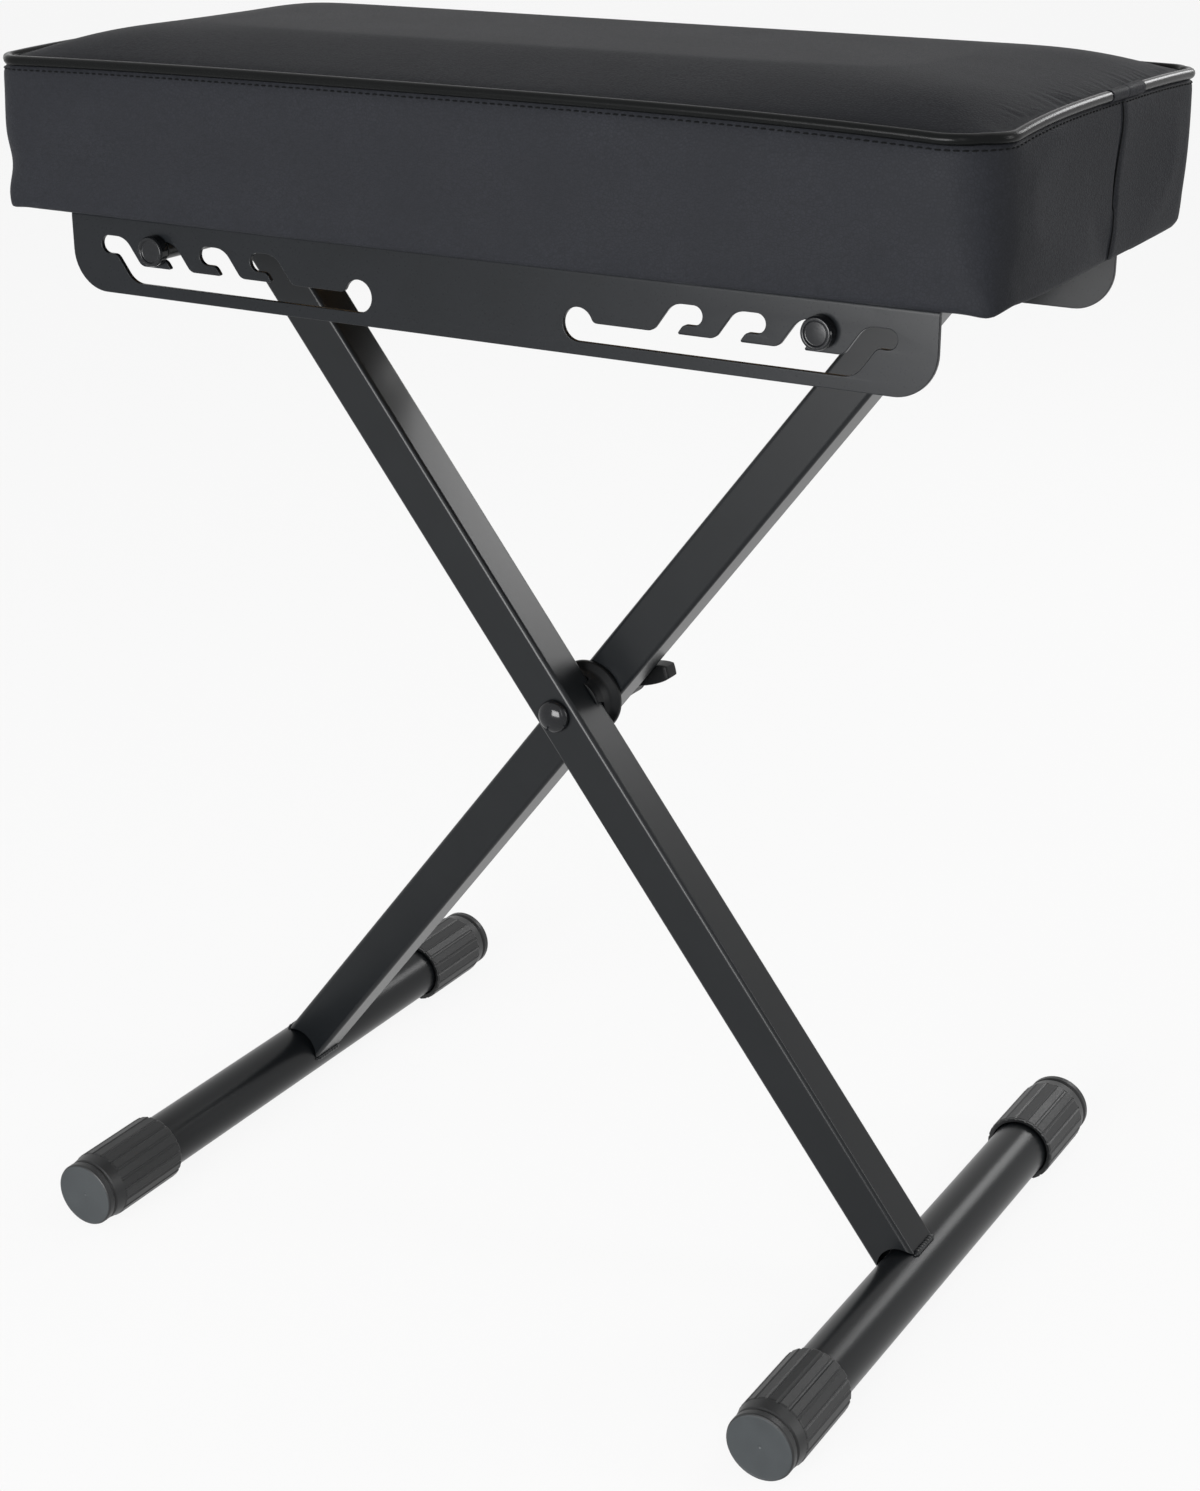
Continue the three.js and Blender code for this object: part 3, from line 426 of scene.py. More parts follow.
def add_piece(name, shape, finish, body, replaced=(), placed=Matrix(), crease=32.0, second=None):
    """A hard piece of the bench: in place, smooth except at its creases, and riding on its body.
    Faces marked with material index 1 wear the second finish."""
    shape.transform(Matrix.Scale(MM, 4) @ placed)
    bmesh.ops.recalc_face_normals(shape, faces=shape.faces)
    piece = as_object(name, shape)
    piece.data.materials.append(finish)
    if second:
        piece.data.materials.append(second)
    else:
        piece.data.polygons.foreach_set("material_index", [0] * len(piece.data.polygons))
    piece.data.shade_smooth()
    piece.data.set_sharp_from_angle(angle=math.radians(crease))
    normals = piece.modifiers.new("face_weighted_normals", "WEIGHTED_NORMAL")
    normals.keep_sharp = True
    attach(piece, body)
    if replaced:
        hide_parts(*replaced)


def end_placed(node, end, centre):
    """Where a cap goes that is drawn from 0 towards +Y: on the front or rear end of a bar."""
    low, high = solid_box(node)
    if end == "front":
        return Matrix.Translation((centre.x, high.y, centre.z)) @ Matrix.Rotation(math.pi, 4, "Z")
    return Matrix.Translation((centre.x, low.y, centre.z))


# Foot bars and their rubber caps
BAR_RADIUS = 12.5
BAR_BORE = 11.0
CAP_LENGTH = 48.0
CAP_RADIUS = 15.5
CAP_RIM_RADIUS = 14.4
CAP_BORE = 12.85
CAP_FLOOR = CAP_LENGTH - 4.0
# Where the pads end along the cap, and the groove between them and the rim ring
CAP_BAND_END = CAP_LENGTH - 10.0
CAP_GROOVE = CAP_LENGTH - 5.0
CAP_PADS = 20
# The groove between two pads: its depth, and where a pad ends, in shares of the way to the next one
PAD_GROOVE = 0.5
PAD_HALF_WIDTH = 0.4


def foot_bar_shape(length):
    edge = 0.4
    return turned(rounded([
        (BAR_BORE, -length / 2, edge), (BAR_RADIUS, -length / 2, edge),
        (BAR_RADIUS, length / 2, edge), (BAR_BORE, length / 2, edge),
    ]), steps=128, looped=True)


def cap_ring(radius, place, pad_share, steps_per_pad=8):
    """A ring of the cap at a place along it. Its flat pads show by pad_share, from 0, round, to 1."""
    points = []
    for pad in range(CAP_PADS):
        for k in range(steps_per_pad):
            turn = (k + 0.5) / steps_per_pad - 0.5
            angle = FULL_TURN * (pad + turn) / CAP_PADS
            flat = math.cos(math.pi / CAP_PADS) / math.cos(FULL_TURN * turn / CAP_PADS)
            groove = PAD_GROOVE if abs(turn) > PAD_HALF_WIDTH else 0.0
            r = radius * (1 + (flat - 1) * pad_share) - groove * pad_share
            points.append(Vector((r * math.sin(angle), place, r * math.cos(angle))))
    return points


def foot_cap_shape():
    """A cap from its mouth at place 0 to its closed end, with a rim ring and a dished end."""
    padded_band = [
        (CAP_RADIUS - 0.7, 0.0, 1), (CAP_RADIUS - 0.2, 0.15, 1), (CAP_RADIUS, 0.6, 1),
        (CAP_RADIUS, CAP_BAND_END - 0.8, 1), (CAP_RADIUS - 0.15, CAP_BAND_END - 0.25, 1),
        (CAP_RADIUS - 0.45, CAP_BAND_END, 0.1), (CAP_RADIUS - 0.5, CAP_BAND_END + 0.2, 0),
    ]
    rim_ring = [
        (CAP_RIM_RADIUS - 0.05, CAP_GROOVE - 0.4, 0), (CAP_RIM_RADIUS - 0.3, CAP_GROOVE - 0.1, 0),
        (CAP_RIM_RADIUS - 0.8, CAP_GROOVE + 0.3, 0), (CAP_RIM_RADIUS - 0.85, CAP_GROOVE + 0.8, 0),
        (CAP_RIM_RADIUS - 0.4, CAP_GROOVE + 1.2, 0), (CAP_RIM_RADIUS, CAP_GROOVE + 1.8, 0),
        (CAP_RIM_RADIUS, CAP_LENGTH - 0.9, 0), (CAP_RIM_RADIUS - 0.2, CAP_LENGTH - 0.4, 0),
        (CAP_RIM_RADIUS - 0.6, CAP_LENGTH - 0.1, 0), (CAP_RIM_RADIUS - 1.1, CAP_LENGTH, 0),
    ]
    dished_end = [
        (CAP_RIM_RADIUS - 1.6, CAP_LENGTH - 0.15, 0), (9.0, CAP_LENGTH - 0.5, 0), (4.5, CAP_LENGTH - 0.75, 0),
        (1.5, CAP_LENGTH - 0.85, 0), (0.8, CAP_LENGTH - 0.9, 0), (0.3, CAP_LENGTH - 1.1, 0),
    ]
    inside = [
        (0.5, CAP_FLOOR, 0), (CAP_BORE - 0.5, CAP_FLOOR, 0), (CAP_BORE, CAP_FLOOR - 0.5, 0),
        (CAP_BORE, 1.0, 0), (CAP_BORE + 0.5, 0.15, 0),
    ]
    rings = [cap_ring(radius, place, share) for radius, place, share in padded_band + rim_ring + dished_end]
    skin = loft(rings + [[Vector((0, CAP_LENGTH - 1.15, 0))]])
    hollow = loft([[Vector((0, CAP_FLOOR, 0))]] + [cap_ring(r, p, s) for r, p, s in inside])
    for shape in (skin, hollow):
        bmesh.ops.delete(shape, geom=[f for f in shape.faces if len(f.verts) > 4], context="FACES_ONLY")
    cap = gathered([skin, hollow])
    rims = [edge for edge in cap.edges if edge.is_boundary]
    bmesh.ops.bridge_loops(cap, edges=rims)
    # The end faces take the second finish, whose lighter grey is a painted reflection
    for face in cap.faces:
        middle = face.calc_center_median()
        on_end = middle.y > CAP_LENGTH - 1.2 and math.hypot(middle.x, middle.z) < CAP_RIM_RADIUS - 0.6
        face.material_index = 1 if on_end else 0
    return cap


def add_feet():
    for side, body in (("left", "rear_leg"), ("right", "front_leg")):
        low, high = solid_box(f"{side}_foot_bar")
        centre = (low + high) / 2
        add_piece(f"{side}_foot_tube", foot_bar_shape(high.y - low.y), LEG_PAINT, body,
                  [f"{side}_foot_bar"], Matrix.Translation(centre))
        for end in ("front", "rear"):
            node = f"{side}_foot_cap_{end}"
            add_piece(f"{side}_rubber_foot_{end}", foot_cap_shape(), FOOT_RUBBER, body,
                      [node], end_placed(node, end, centre), crease=14, second=END_RUBBER_PAINTED_SHEEN)


# Cross rods and their caps
ROD_RADIUS = 4.2
ROD_NECK = 3.3
# From the rear rail's outer face in to the shoulder where a rod steps down to its neck
SHOULDER_DEPTH = 2.3


def rod_button_outline(length):
    """A cap's half outline, as radius and place: its bore, the rim round it and the dished face."""
    return rounded([
        (0, length - 1.4, 0), (3.6, length - 1.4, 0.2), (3.6, 0, 0.2), (6, 0, 0.4), (6, length - 1.0, 0.6),
        (5.6, length, 0.4), (4.6, length, 0.4), (4.2, length - 0.7, 0.5), (0, length - 0.55, 0),
    ], closed=False)


def add_rods():
    for side, body in (("left", "front_leg"), ("right", "seat")):
        low, high = solid_box(f"{side}_cross_rod")
        centre = (low + high) / 2
        reach = high.y - centre.y
        shoulder = solid_box("rear_rail")[1].y - SHOULDER_DEPTH
        outline = rounded([
            (0, reach, 0), (ROD_NECK, reach, 0.5), (ROD_NECK, shoulder, 0.3), (ROD_RADIUS, shoulder, 0.5),
            (ROD_RADIUS, -shoulder, 0.5), (ROD_NECK, -shoulder, 0.3), (ROD_NECK, -reach, 0.5), (0, -reach, 0),
        ], closed=False)
        add_piece(f"{side}_seat_rod", turned(outline, steps=64), LEG_PAINT, body,
                  [f"{side}_cross_rod"], Matrix.Translation(centre))
        for end in ("front", "rear"):
            node = f"{side}_rod_cap_{end}"
            cap_low, cap_high = solid_box(node)
            button = turned(rod_button_outline(cap_high.y - cap_low.y), steps=64)
            add_piece(f"{side}_rod_button_{end}", button, OXIDE_STEEL, body, [node],
                      end_placed(node, end, centre))


# Legs, each drawn upright with its pivot hole at the origin's height
LEG_HALF = 10.0
LEG_WALL = 1.5
LEG_CORNER = 2.0
# From the pivot up to the cross rod and down to the foot bar's centre
LEG_UPPER = 239.0
LEG_LOWER = 275.5
LEG_TOP = LEG_UPPER + 9
LEG_Y = 14.0
ROD_HOLE = 4.5
BOLT_HOLE = 4.3
# The square hole for the bolt's neck goes through the front leg's front wall alone
SQUARE_HOLE_END = -22.5
# The legs' lower ends stop just above the round of the bars, where the welds fill in
WELD_RADIUS = 12.8
STAND_Z = math.sqrt(WELD_RADIUS ** 2 - LEG_HALF ** 2) - LEG_LOWER
COPE_RADIUS = LEG_HALF + 1
# The rear leg's saddle for its rod is open outwards, and flares
SADDLE_MOUTH = 22.0
SADDLE_FLARE = 1.3
RIPPLE_PITCH = 1.9


def leg_tube(y_middle):
    def ring(half, radius, z):
        corners = rounded([(-half, -half, radius), (half, -half, radius), (half, half, radius),
                           (-half, half, radius)], turn=math.radians(12))
        return [Vector((p.x, y_middle + p.y, z)) for p in corners]
    foot, edge = STAND_Z, 0.35
    bore, bore_corner = LEG_HALF - LEG_WALL, LEG_CORNER - LEG_WALL
    outside = [(LEG_HALF - edge, LEG_CORNER - edge, foot), (LEG_HALF, LEG_CORNER, foot + edge),
               (LEG_HALF, LEG_CORNER, LEG_TOP - edge), (LEG_HALF - edge, LEG_CORNER - edge, LEG_TOP)]
    inside = [(bore + edge, bore_corner + edge, LEG_TOP), (bore, bore_corner, LEG_TOP - edge),
              (bore, bore_corner, foot + edge), (bore + edge, bore_corner + edge, foot)]
    return loft([ring(*values) for values in outside + inside], looped=True)


def weld_bead(side, y_middle):
    """A hand-run weld along the leg's side where it meets the foot bar: overlapping ripples."""
    steps, reach = 64, LEG_HALF - 1.2
    centre_x, centre_z = side * (LEG_HALF + 0.2), STAND_Z - 0.4
    rings = [[Vector((centre_x, y_middle - reach - 0.4, centre_z))]]
    for i in range(steps + 1):
        along = -reach + 2 * reach * i / steps
        ripple = abs(math.sin(math.pi * along / RIPPLE_PITCH))
        swell = min(1.0, (reach - abs(along)) / 1.5) ** 0.5 if abs(along) < reach else 0.3
        radius = (1.1 + 0.25 * ripple) * max(0.45, swell)
        wander = 0.25 * noise.noise(Vector((along * 0.3, side, 2.0)))
        rings.append([
            Vector((centre_x + radius * math.cos(a) + wander * side, y_middle + along,
                    centre_z + 1.15 * radius * math.sin(a) + wander)) for a in angles_round(16)])
    rings.append([Vector((centre_x, y_middle + reach + 0.4, centre_z))])
    return loft(rings)


def saddle_tool(y_middle, depth=40.0):
    """What cuts the rear leg's open saddle: a half round for the rod, with a flared mouth."""
    outline = [Vector((0, -ROD_HOLE)), Vector((SADDLE_MOUTH, -ROD_HOLE - SADDLE_FLARE)),
               Vector((SADDLE_MOUTH, ROD_HOLE + SADDLE_FLARE)), Vector((0, ROD_HOLE))]
    outline += [Vector((ROD_HOLE * math.cos(a), ROD_HOLE * math.sin(a)))
                for a in (QUARTER + math.pi * k / 24 for k in range(1, 24))]
    tool = plate([outline], depth, 0.01, edge_steps=1)
    tool.transform(Matrix.Translation((0, 0, LEG_UPPER)) @ Matrix.Rotation(-LEG_ANGLE, 4, "Y")
                   @ Matrix.Rotation(QUARTER, 4, "X") @ Matrix.Translation((0, 0, -y_middle - depth / 2)))
    return tool


def add_legs():
    for end, lean, y_middle in (("front", front_lean, -LEG_Y), ("rear", rear_lean, LEG_Y)):
        near, far = y_middle - LEG_HALF - 5, y_middle + LEG_HALF + 5
        tools = [
            bar_shape(COPE_RADIUS, near, far, 0, STAND_Z - math.sqrt(COPE_RADIUS ** 2 - LEG_HALF ** 2)),
            bar_shape(BOLT_HOLE, near, far, 0, 0),
        ]
        if end == "front":
            tools.append(box_shape((-BOLT_HOLE, near, -BOLT_HOLE), (BOLT_HOLE, SQUARE_HOLE_END, BOLT_HOLE)))
            tools.append(bar_shape(ROD_HOLE, near, far, 0, LEG_UPPER))
        else:
            tools.append(saddle_tool(y_middle))
        tube = cut(leg_tube(y_middle), tools)
        beads = gathered([weld_bead(side, y_middle) for side in (-1, 1)])
        body = f"{end}_leg"
        add_piece(f"{end}_square_leg", tube, LEG_PAINT, body, [body], lean)
        add_piece(f"{end}_leg_welds", beads, LEG_PAINT, body, (), lean, crease=60)


# Pivot hardware
BOLT_RADIUS = 4.0
BOLT_HEAD = 7.0
BOLT_DOME = 3.5
UNDER_HEAD = -24.3
# The square neck, half its width, and where it ends
NECK_HALF = 4.05
NECK_END = -22.8
THREAD_ROOT = 3.35
THREAD_START = 25.0
THREAD_PITCH = 1.25
SPACER_DISC = 16.0
SPACER_FACE = 3.7
# The spacer's two ears reach back past the front leg's sides, with a channel between them for the leg
EAR_END = -9.0
CHANNEL_HALF = 10.3
WASHER_RADIUS = 9.0


def bolt_shape(tip, steps=80):
    """A carriage bolt: a low dome, a square neck under it, a shank and its thread."""
    def square_ring(half, place):
        ring = []
        for angle in angles_round(steps):
            across, up = math.sin(angle), math.cos(angle)
            reach = half / max(abs(across), abs(up))
            ring.append(Vector((reach * across, place, reach * up)))
        return ring

    head = [(BOLT_HEAD * math.sin(t), UNDER_HEAD - 1.0 - BOLT_DOME * math.cos(t))
            for t in (QUARTER * k / 14 for k in range(15))]
    head += [(BOLT_HEAD, UNDER_HEAD - 0.25), (BOLT_HEAD - 0.2, UNDER_HEAD)]
    neck = [square_ring(NECK_HALF, UNDER_HEAD), square_ring(NECK_HALF, NECK_END)]
    shank = [(BOLT_RADIUS, NECK_END), (BOLT_RADIUS, THREAD_START - 1)]
    place = THREAD_START
    while place < tip - 1.6:
        shank += [(BOLT_RADIUS, place), (BOLT_RADIUS, place + 0.15),
                  (THREAD_ROOT, place + 0.6), (THREAD_ROOT, place + 0.75)]
        place += THREAD_PITCH
    shank += [(BOLT_RADIUS, tip - 1.2), (BOLT_RADIUS - 0.8, tip), (0, tip)]
    return loft([round_ring(*place, steps) for place in head] + neck
                + [round_ring(*place, steps) for place in shank])


def spacer_shape():
    """The moulded spacer: a thin disc against the rear leg, and a nose that saddles the front leg."""
    nose = turned(rounded([
        (BOLT_HOLE, EAR_END, 0.2), (11.6, EAR_END, 0.3), (11.3, -7.4, 2), (11.8, -SPACER_FACE, 5),
        (13.0, -0.6, 3), (SPACER_DISC - 0.3, 1.6, 0.4), (SPACER_DISC, 2.2, 0.4),
        (SPACER_DISC, SPACER_FACE, 0.4), (BOLT_HOLE, SPACER_FACE, 0.2),
    ]), steps=160, looped=True)
    channel = box_shape((-CHANNEL_HALF, EAR_END - 5, -20), (CHANNEL_HALF, -SPACER_FACE, 20))
    return cut(nose, [channel])


def add_pivot():
    bolt = bolt_shape(solid_box("pivot_bolt")[1].y)
    add_piece("pivot_carriage_bolt", bolt, OXIDE_STEEL, "front_leg", ["pivot_bolt"],
              front_lean, crease=38)
    add_piece("pivot_saddle_spacer", spacer_shape(), KNOB_NYLON, "front_leg",
              ["pivot_spacer"], front_lean)

    low, high = solid_box("pivot_washer")
    washer = turned(rounded([(BOLT_HOLE, low.y, 0.25), (WASHER_RADIUS, low.y, 0.25),
                             (WASHER_RADIUS, high.y, 0.35), (BOLT_HOLE, high.y, 0.35)]), looped=True)
    add_piece("pivot_flat_washer", washer, ZINC_PLATE, "rear_leg", ["pivot_washer"],
              Matrix.Translation((0, 0, PIVOT.z)))
    add_knob()


KNOB_HUB = 8.9
KNOB_SPAN = 25.0
KNOB_ANGLE = math.radians(-16)
# How fast a lobe falls away from its middle, and how much of it is cut off level at its tip
LOBE_POWER = 22
LOBE_GAIN = 1.12
# From each end of the knob to its wings, and the pocket for the nut
WING_INSET = 2.0
POCKET_DEPTH = 8.3
POCKET_CORNER = 7.5


def add_knob():
    """Wing knob: a round hub with two lobes, hollowed for its nut and open to the bolt's tip."""
    low, high = solid_box("wing_knob")
    start, end = low.y, high.y

    def ring(place, radius_at):
        return [Vector((radius_at(a) * math.cos(a), place, radius_at(a) * math.sin(a)))
                for a in angles_round(240)]

    def winged(place, wing_share, inset):
        def radius_at(angle):
            lobe = min(1, LOBE_GAIN * abs(math.cos(angle)) ** LOBE_POWER) * wing_share
            return KNOB_HUB + (KNOB_SPAN - KNOB_HUB) * lobe - inset
        return ring(place, radius_at)

    def pocket(place):
        flat = POCKET_CORNER * math.cos(math.pi / 6)
        return ring(place, lambda angle: flat / math.cos((angle % (FULL_TURN / 6)) - math.pi / 6))

    # Rounding of a wing's edge: how far in from its face, its share of a full lobe, and its inset
    edge = [(0, 0.12, 0), (0, 0.9, 0.8), (0.15, 1, 0.75), (0.5, 1, 0.3), (1.0, 1, 0.05), (1.6, 1, 0)]
    wing_low, wing_high = start + WING_INSET, end - WING_INSET
    rings = [pocket(start + POCKET_DEPTH), pocket(start)]
    rings += [winged(start, 0, 0.5), winged(start + 0.2, 0, 0.1), winged(start + 0.6, 0, 0),
              winged(wing_low - 0.2, 0, 0)]
    rings += [winged(wing_low + depth, share, inset) for depth, share, inset in edge]
    rings += [winged(wing_high - depth, share, inset) for depth, share, inset in reversed(edge)]
    rings += [winged(wing_high + 0.2, 0, 0), winged(end - 1.0, 0, 0), winged(end - 0.3, 0, 0.3),
              winged(end, 0, 1.0)]
    rings += [ring(place, lambda _, r=radius: r) for place, radius in (
        (end, 5.2), (end - 0.5, 4.4), (start + POCKET_DEPTH, BOLT_HOLE))]
    placed = Matrix.Translation((0, 0, PIVOT.z)) @ Matrix.Rotation(KNOB_ANGLE, 4, "Y")
    add_piece("pivot_wing_knob", loft(rings, looped=True), KNOB_NYLON, "pivot_knob",
              ["wing_knob"], placed, crease=40)


# Rails and screws
RAIL_HALF = 190.0
RAIL_HEIGHT = 32.6
RAIL_FLANGE = 26.0
RAIL_SHEET = 2.0
RAIL_CORNER = 16.0
FLANGE_CORNER = 3.0
BEND_RADIUS = 3.2
# The four hooks of a slot: the last one's place, their pitch and height, and the slope of their necks
LAST_HOOK = 171.4
HOOK_PITCH = 25.0
HOOK_Z = 19.5
HOOK_SLOPE = math.radians(54)
HOOK_FLOOR = 4.0
NECK_WIDTH = 7.9
SLOT_HALF_WIDTH = 3.6
SLOT_STRIP = 5.0
KEYHOLE_X = 48.8
KEYHOLE_RADIUS = 6.25
KEYHOLE_FILLET = 2.5
SCREW_STATIONS = (-150.0, 0.0, 150.0)
SCREW_LINE = 14.0
SCREW_HOLE = 3.3


def slot_loop():
    """One slot, from the middle of the rail outwards and up from its bottom edge, counterclockwise."""
    roof = SLOT_STRIP + 2 * SLOT_HALF_WIDTH
    seat, top = HOOK_Z - SLOT_HALF_WIDTH, HOOK_Z + SLOT_HALF_WIDTH

    def lower(hook, height):
        return hook - HOOK_FLOOR - (seat - height) / math.tan(HOOK_SLOPE)

    def upper(hook, height):
        return lower(hook, height) - NECK_WIDTH / math.sin(HOOK_SLOPE)

    corners = [(KEYHOLE_X, SLOT_STRIP, 0)]
    for number in range(4):
        hook = LAST_HOOK - HOOK_PITCH * number
        end = hook + SLOT_HALF_WIDTH
        corners.append((lower(hook, SLOT_STRIP), SLOT_STRIP, 9) if number == 0
                       else (lower(hook, roof), roof, 0.6))
        corners += [(hook - HOOK_FLOOR, seat, 3), (end, seat, SLOT_HALF_WIDTH), (end, top, SLOT_HALF_WIDTH),
                    (upper(hook, top), top, 8), (upper(hook, roof), roof, 4)]
    centre = SLOT_STRIP + KEYHOLE_RADIUS
    rise = roof + KEYHOLE_FILLET - centre
    fillet_x = KEYHOLE_X + math.sqrt((KEYHOLE_RADIUS + KEYHOLE_FILLET) ** 2 - rise ** 2)
    corners.append((fillet_x, roof, 0))
    points = rounded(corners, turn=math.radians(9))
    turn = math.atan2(rise, fillet_x - KEYHOLE_X)
    for k in range(1, 9):
        angle = -QUARTER + (turn - math.pi + QUARTER) * k / 8
        points.append(Vector((fillet_x + KEYHOLE_FILLET * math.cos(angle),
                              roof + KEYHOLE_FILLET + KEYHOLE_FILLET * math.sin(angle))))
    for k in range(1, 28):
        angle = turn + (QUARTER * 3 - turn) * k / 28
        points.append(Vector((KEYHOLE_X + KEYHOLE_RADIUS * math.cos(angle),
                              centre + KEYHOLE_RADIUS * math.sin(angle))))
    return points


def rail_shape(face, bottom):
    """The front rail: a blank with its slots and holes, folded over at the top round a bend radius."""
    straight = RAIL_HEIGHT - BEND_RADIUS
    bend_run = BEND_RADIUS * QUARTER
    blank_end = straight + bend_run + RAIL_FLANGE - BEND_RADIUS
    outline = rounded([(-RAIL_HALF, 0, RAIL_CORNER), (RAIL_HALF, 0, RAIL_CORNER),
                       (RAIL_HALF, blank_end, FLANGE_CORNER), (-RAIL_HALF, blank_end, FLANGE_CORNER)],
                      turn=math.radians(6))
    slot_right = slot_loop()[::-1]
    slot_left = [Vector((-p.x, p.y)) for p in reversed(slot_right)]
    hole_v = straight + bend_run + SCREW_LINE - BEND_RADIUS
    holes = [[Vector((x + SCREW_HOLE * math.cos(a), hole_v - SCREW_HOLE * math.sin(a)))
              for a in angles_round(32)] for x in SCREW_STATIONS]
    shape = plate([outline, slot_right, slot_left] + holes, RAIL_SHEET, 0.3)
    # The bend is cut into strips before it is folded
    for k in range(9):
        everything = shape.verts[:] + shape.edges[:] + shape.faces[:]
        bmesh.ops.bisect_plane(shape, geom=everything, dist=0.001, plane_no=(0, 1, 0),
                               plane_co=(0, straight + bend_run * k / 8, 0))
    top = bottom + RAIL_HEIGHT
    for vert in shape.verts:
        u, v, depth = vert.co
        if v <= straight:
            y, z = -face + depth, bottom + v
        elif v <= straight + bend_run:
            angle, reach = (v - straight) / BEND_RADIUS, BEND_RADIUS - depth
            y, z = -face + BEND_RADIUS - reach * math.cos(angle), top - BEND_RADIUS + reach * math.sin(angle)
        else:
            y, z = -face + BEND_RADIUS + v - straight - bend_run, top - depth
        vert.co = (u, y, z)
    return shape


SCREW_HEAD = 3.6
SCREW_HEAD_RADIUS = 6.0
SCREW_RADIUS = 3.0


def screw_shape(length):
    """A pan-head screw along +Z from under its head, with a crossed drive recess."""
    screw = turned(rounded([
        (0, -SCREW_HEAD, 0), (3.6, 0.1 - SCREW_HEAD, 1.2), (SCREW_HEAD_RADIUS, -1.6, 1.6),
        (SCREW_HEAD_RADIUS, 0, 0.3), (SCREW_RADIUS, 0, 0.3), (SCREW_RADIUS, length, 0.6), (0, length, 0),
    ], closed=False), steps=48)
    blades = [box_shape((-across, -4.2, -up), (across, -1.8, up)) for across, up in ((2.6, 0.5), (0.5, 2.6))]
    screw = cut(screw, blades)
    screw.transform(Matrix.Rotation(QUARTER, 4, "X"))
    return screw


def add_rails():
    low, high = solid_box("front_rail")
    for end, turn in (("front", 0), ("rear", math.pi)):
        add_piece(f"{end}_hook_rail", rail_shape(-low.y, low.z), RAIL_PAINT, "seat",
                  [f"{end}_rail"], Matrix.Rotation(turn, 4, "Z"), crease=36)
    low, high = solid_box("rail_screw_1")
    screw = screw_shape(high.z - low.z - SCREW_HEAD)
    for number in range(1, 7):
        low, high = solid_box(f"rail_screw_{number}")
        centre = (low + high) / 2
        add_piece(f"cross_head_screw_{number}", screw.copy(), ZINC_PLATE, "seat",
                  [f"rail_screw_{number}"], Matrix.Translation((centre.x, centre.y, low.z + SCREW_HEAD)))
    screw.free()


# Cushion
SEAT_HALF = Vector((213.0, 100.0))
HEM_BOTTOM = solid_box("cover_side_band")[0].z
PIPING_Z = HEM_BOTTOM + 59.6
# The top swells by CROWN over CROWN_RUN, from the seam's inset behind the piping
SEAM_INSET = 3.5
CROWN = 9.2
CROWN_RUN = 60.0
# No two corners of the hand-made cover are alike: front left, front right, rear right and rear left
CORNER_SIGNS = [(-1, -1), (1, -1), (1, 1), (-1, 1)]
CORNER_RADII = [13.0, 20.0, 13.0, 14.0]
# How far the sewing pulls the seam down towards each corner
CORNER_DROPS = [1.6, 3.0, 1.2, 2.4]
# How far the stapling lifts the hem towards each corner, and how far a fold hangs at the very corner
CORNER_LIFTS = [0.7, 1.6, 2.2, 0.8]
CORNER_TIPS = [1.5, 2.8, 0.0, 0.0]
# How far the hem stands out at each corner, and how far the band is drawn in just above
CORNER_FLARES = [4.8, 4.4, 1.5, 2.4]
CORNER_PINCHES = [2.4, 0.8, 0.4, 0.4]
PINCH_MIDDLE = 0.32
PINCH_REACH = 0.14
# The hem's front right end hangs slack towards +X
HEM_SLACK = 4.6
SLACK_START = Vector((165.0, 18.0))
SLACK_RUN = Vector((45.0, 80.0))
LONG_STEPS, SHORT_STEPS = 120, 56
# Rows of the cover as inset and height over the hem: the lining under the board, then the rounded lower edge
LINING = [(3.3, 13.8), (3.3, 1.2), (25.4, 1.2), (25.4, 0.0), (18.0, 0.0), (9.0, 0.0), (4.2, 0.0)]
LOWER_EDGE = [(2.6, 0.35), (1.75, 1.3)]
BAND_ROWS = 12
# The band is hollow along its sides and full at its corners, and it is tucked in towards the hem
BAND_HOLLOW = 2.0
CORNER_FULLNESS = 0.7
HEM_TUCK = 1.6
FLARE_POWER = 1.6

# One point round the seat: the hub and radius its corner swings on, its outward direction, how near it is
# to a corner (0 in the middle of a side, 1 at a corner), how far it is round the bend (1 at a corner's
# middle), and the drop, lift, tip, flare and pinch of the nearest corner
SeatPoint = namedtuple("SeatPoint", "hub radius outward weight bend drop lift tip flare pinch")


def side_point(side, share):
    """A point along one side of the seat, from corner middle to corner middle."""
    following = (side + 1) % 4
    radii = CORNER_RADII[side], CORNER_RADII[following]
    hubs = [Vector([sign * (half - radius) for sign, half in zip(CORNER_SIGNS[corner], SEAT_HALF)])
            for corner, radius in zip((side, following), radii)]
    arcs = [radius * QUARTER / 2 for radius in radii]
    run = 2 * SEAT_HALF[side % 2] - sum(radii)
    along = share * (run + sum(arcs)) - arcs[0]
    straight = clamped(along / run)
    turn = min(0, along) / radii[0] + max(0, along - run) / radii[1]
    angle = QUARTER * (side - 1) + turn
    nearest = side if share < 0.5 else following
    return SeatPoint(hubs[0].lerp(hubs[1], straight), radii[0] + (radii[1] - radii[0]) * straight,
                     Vector((math.cos(angle), math.sin(angle))), abs(2 * straight - 1) ** 3,
                     abs(turn) / (QUARTER / 2), CORNER_DROPS[nearest], CORNER_LIFTS[nearest],
                     CORNER_TIPS[nearest], CORNER_FLARES[nearest], CORNER_PINCHES[nearest])


def clamped(value):
    """A value held between 0 and 1."""
    return min(1, max(0, value))


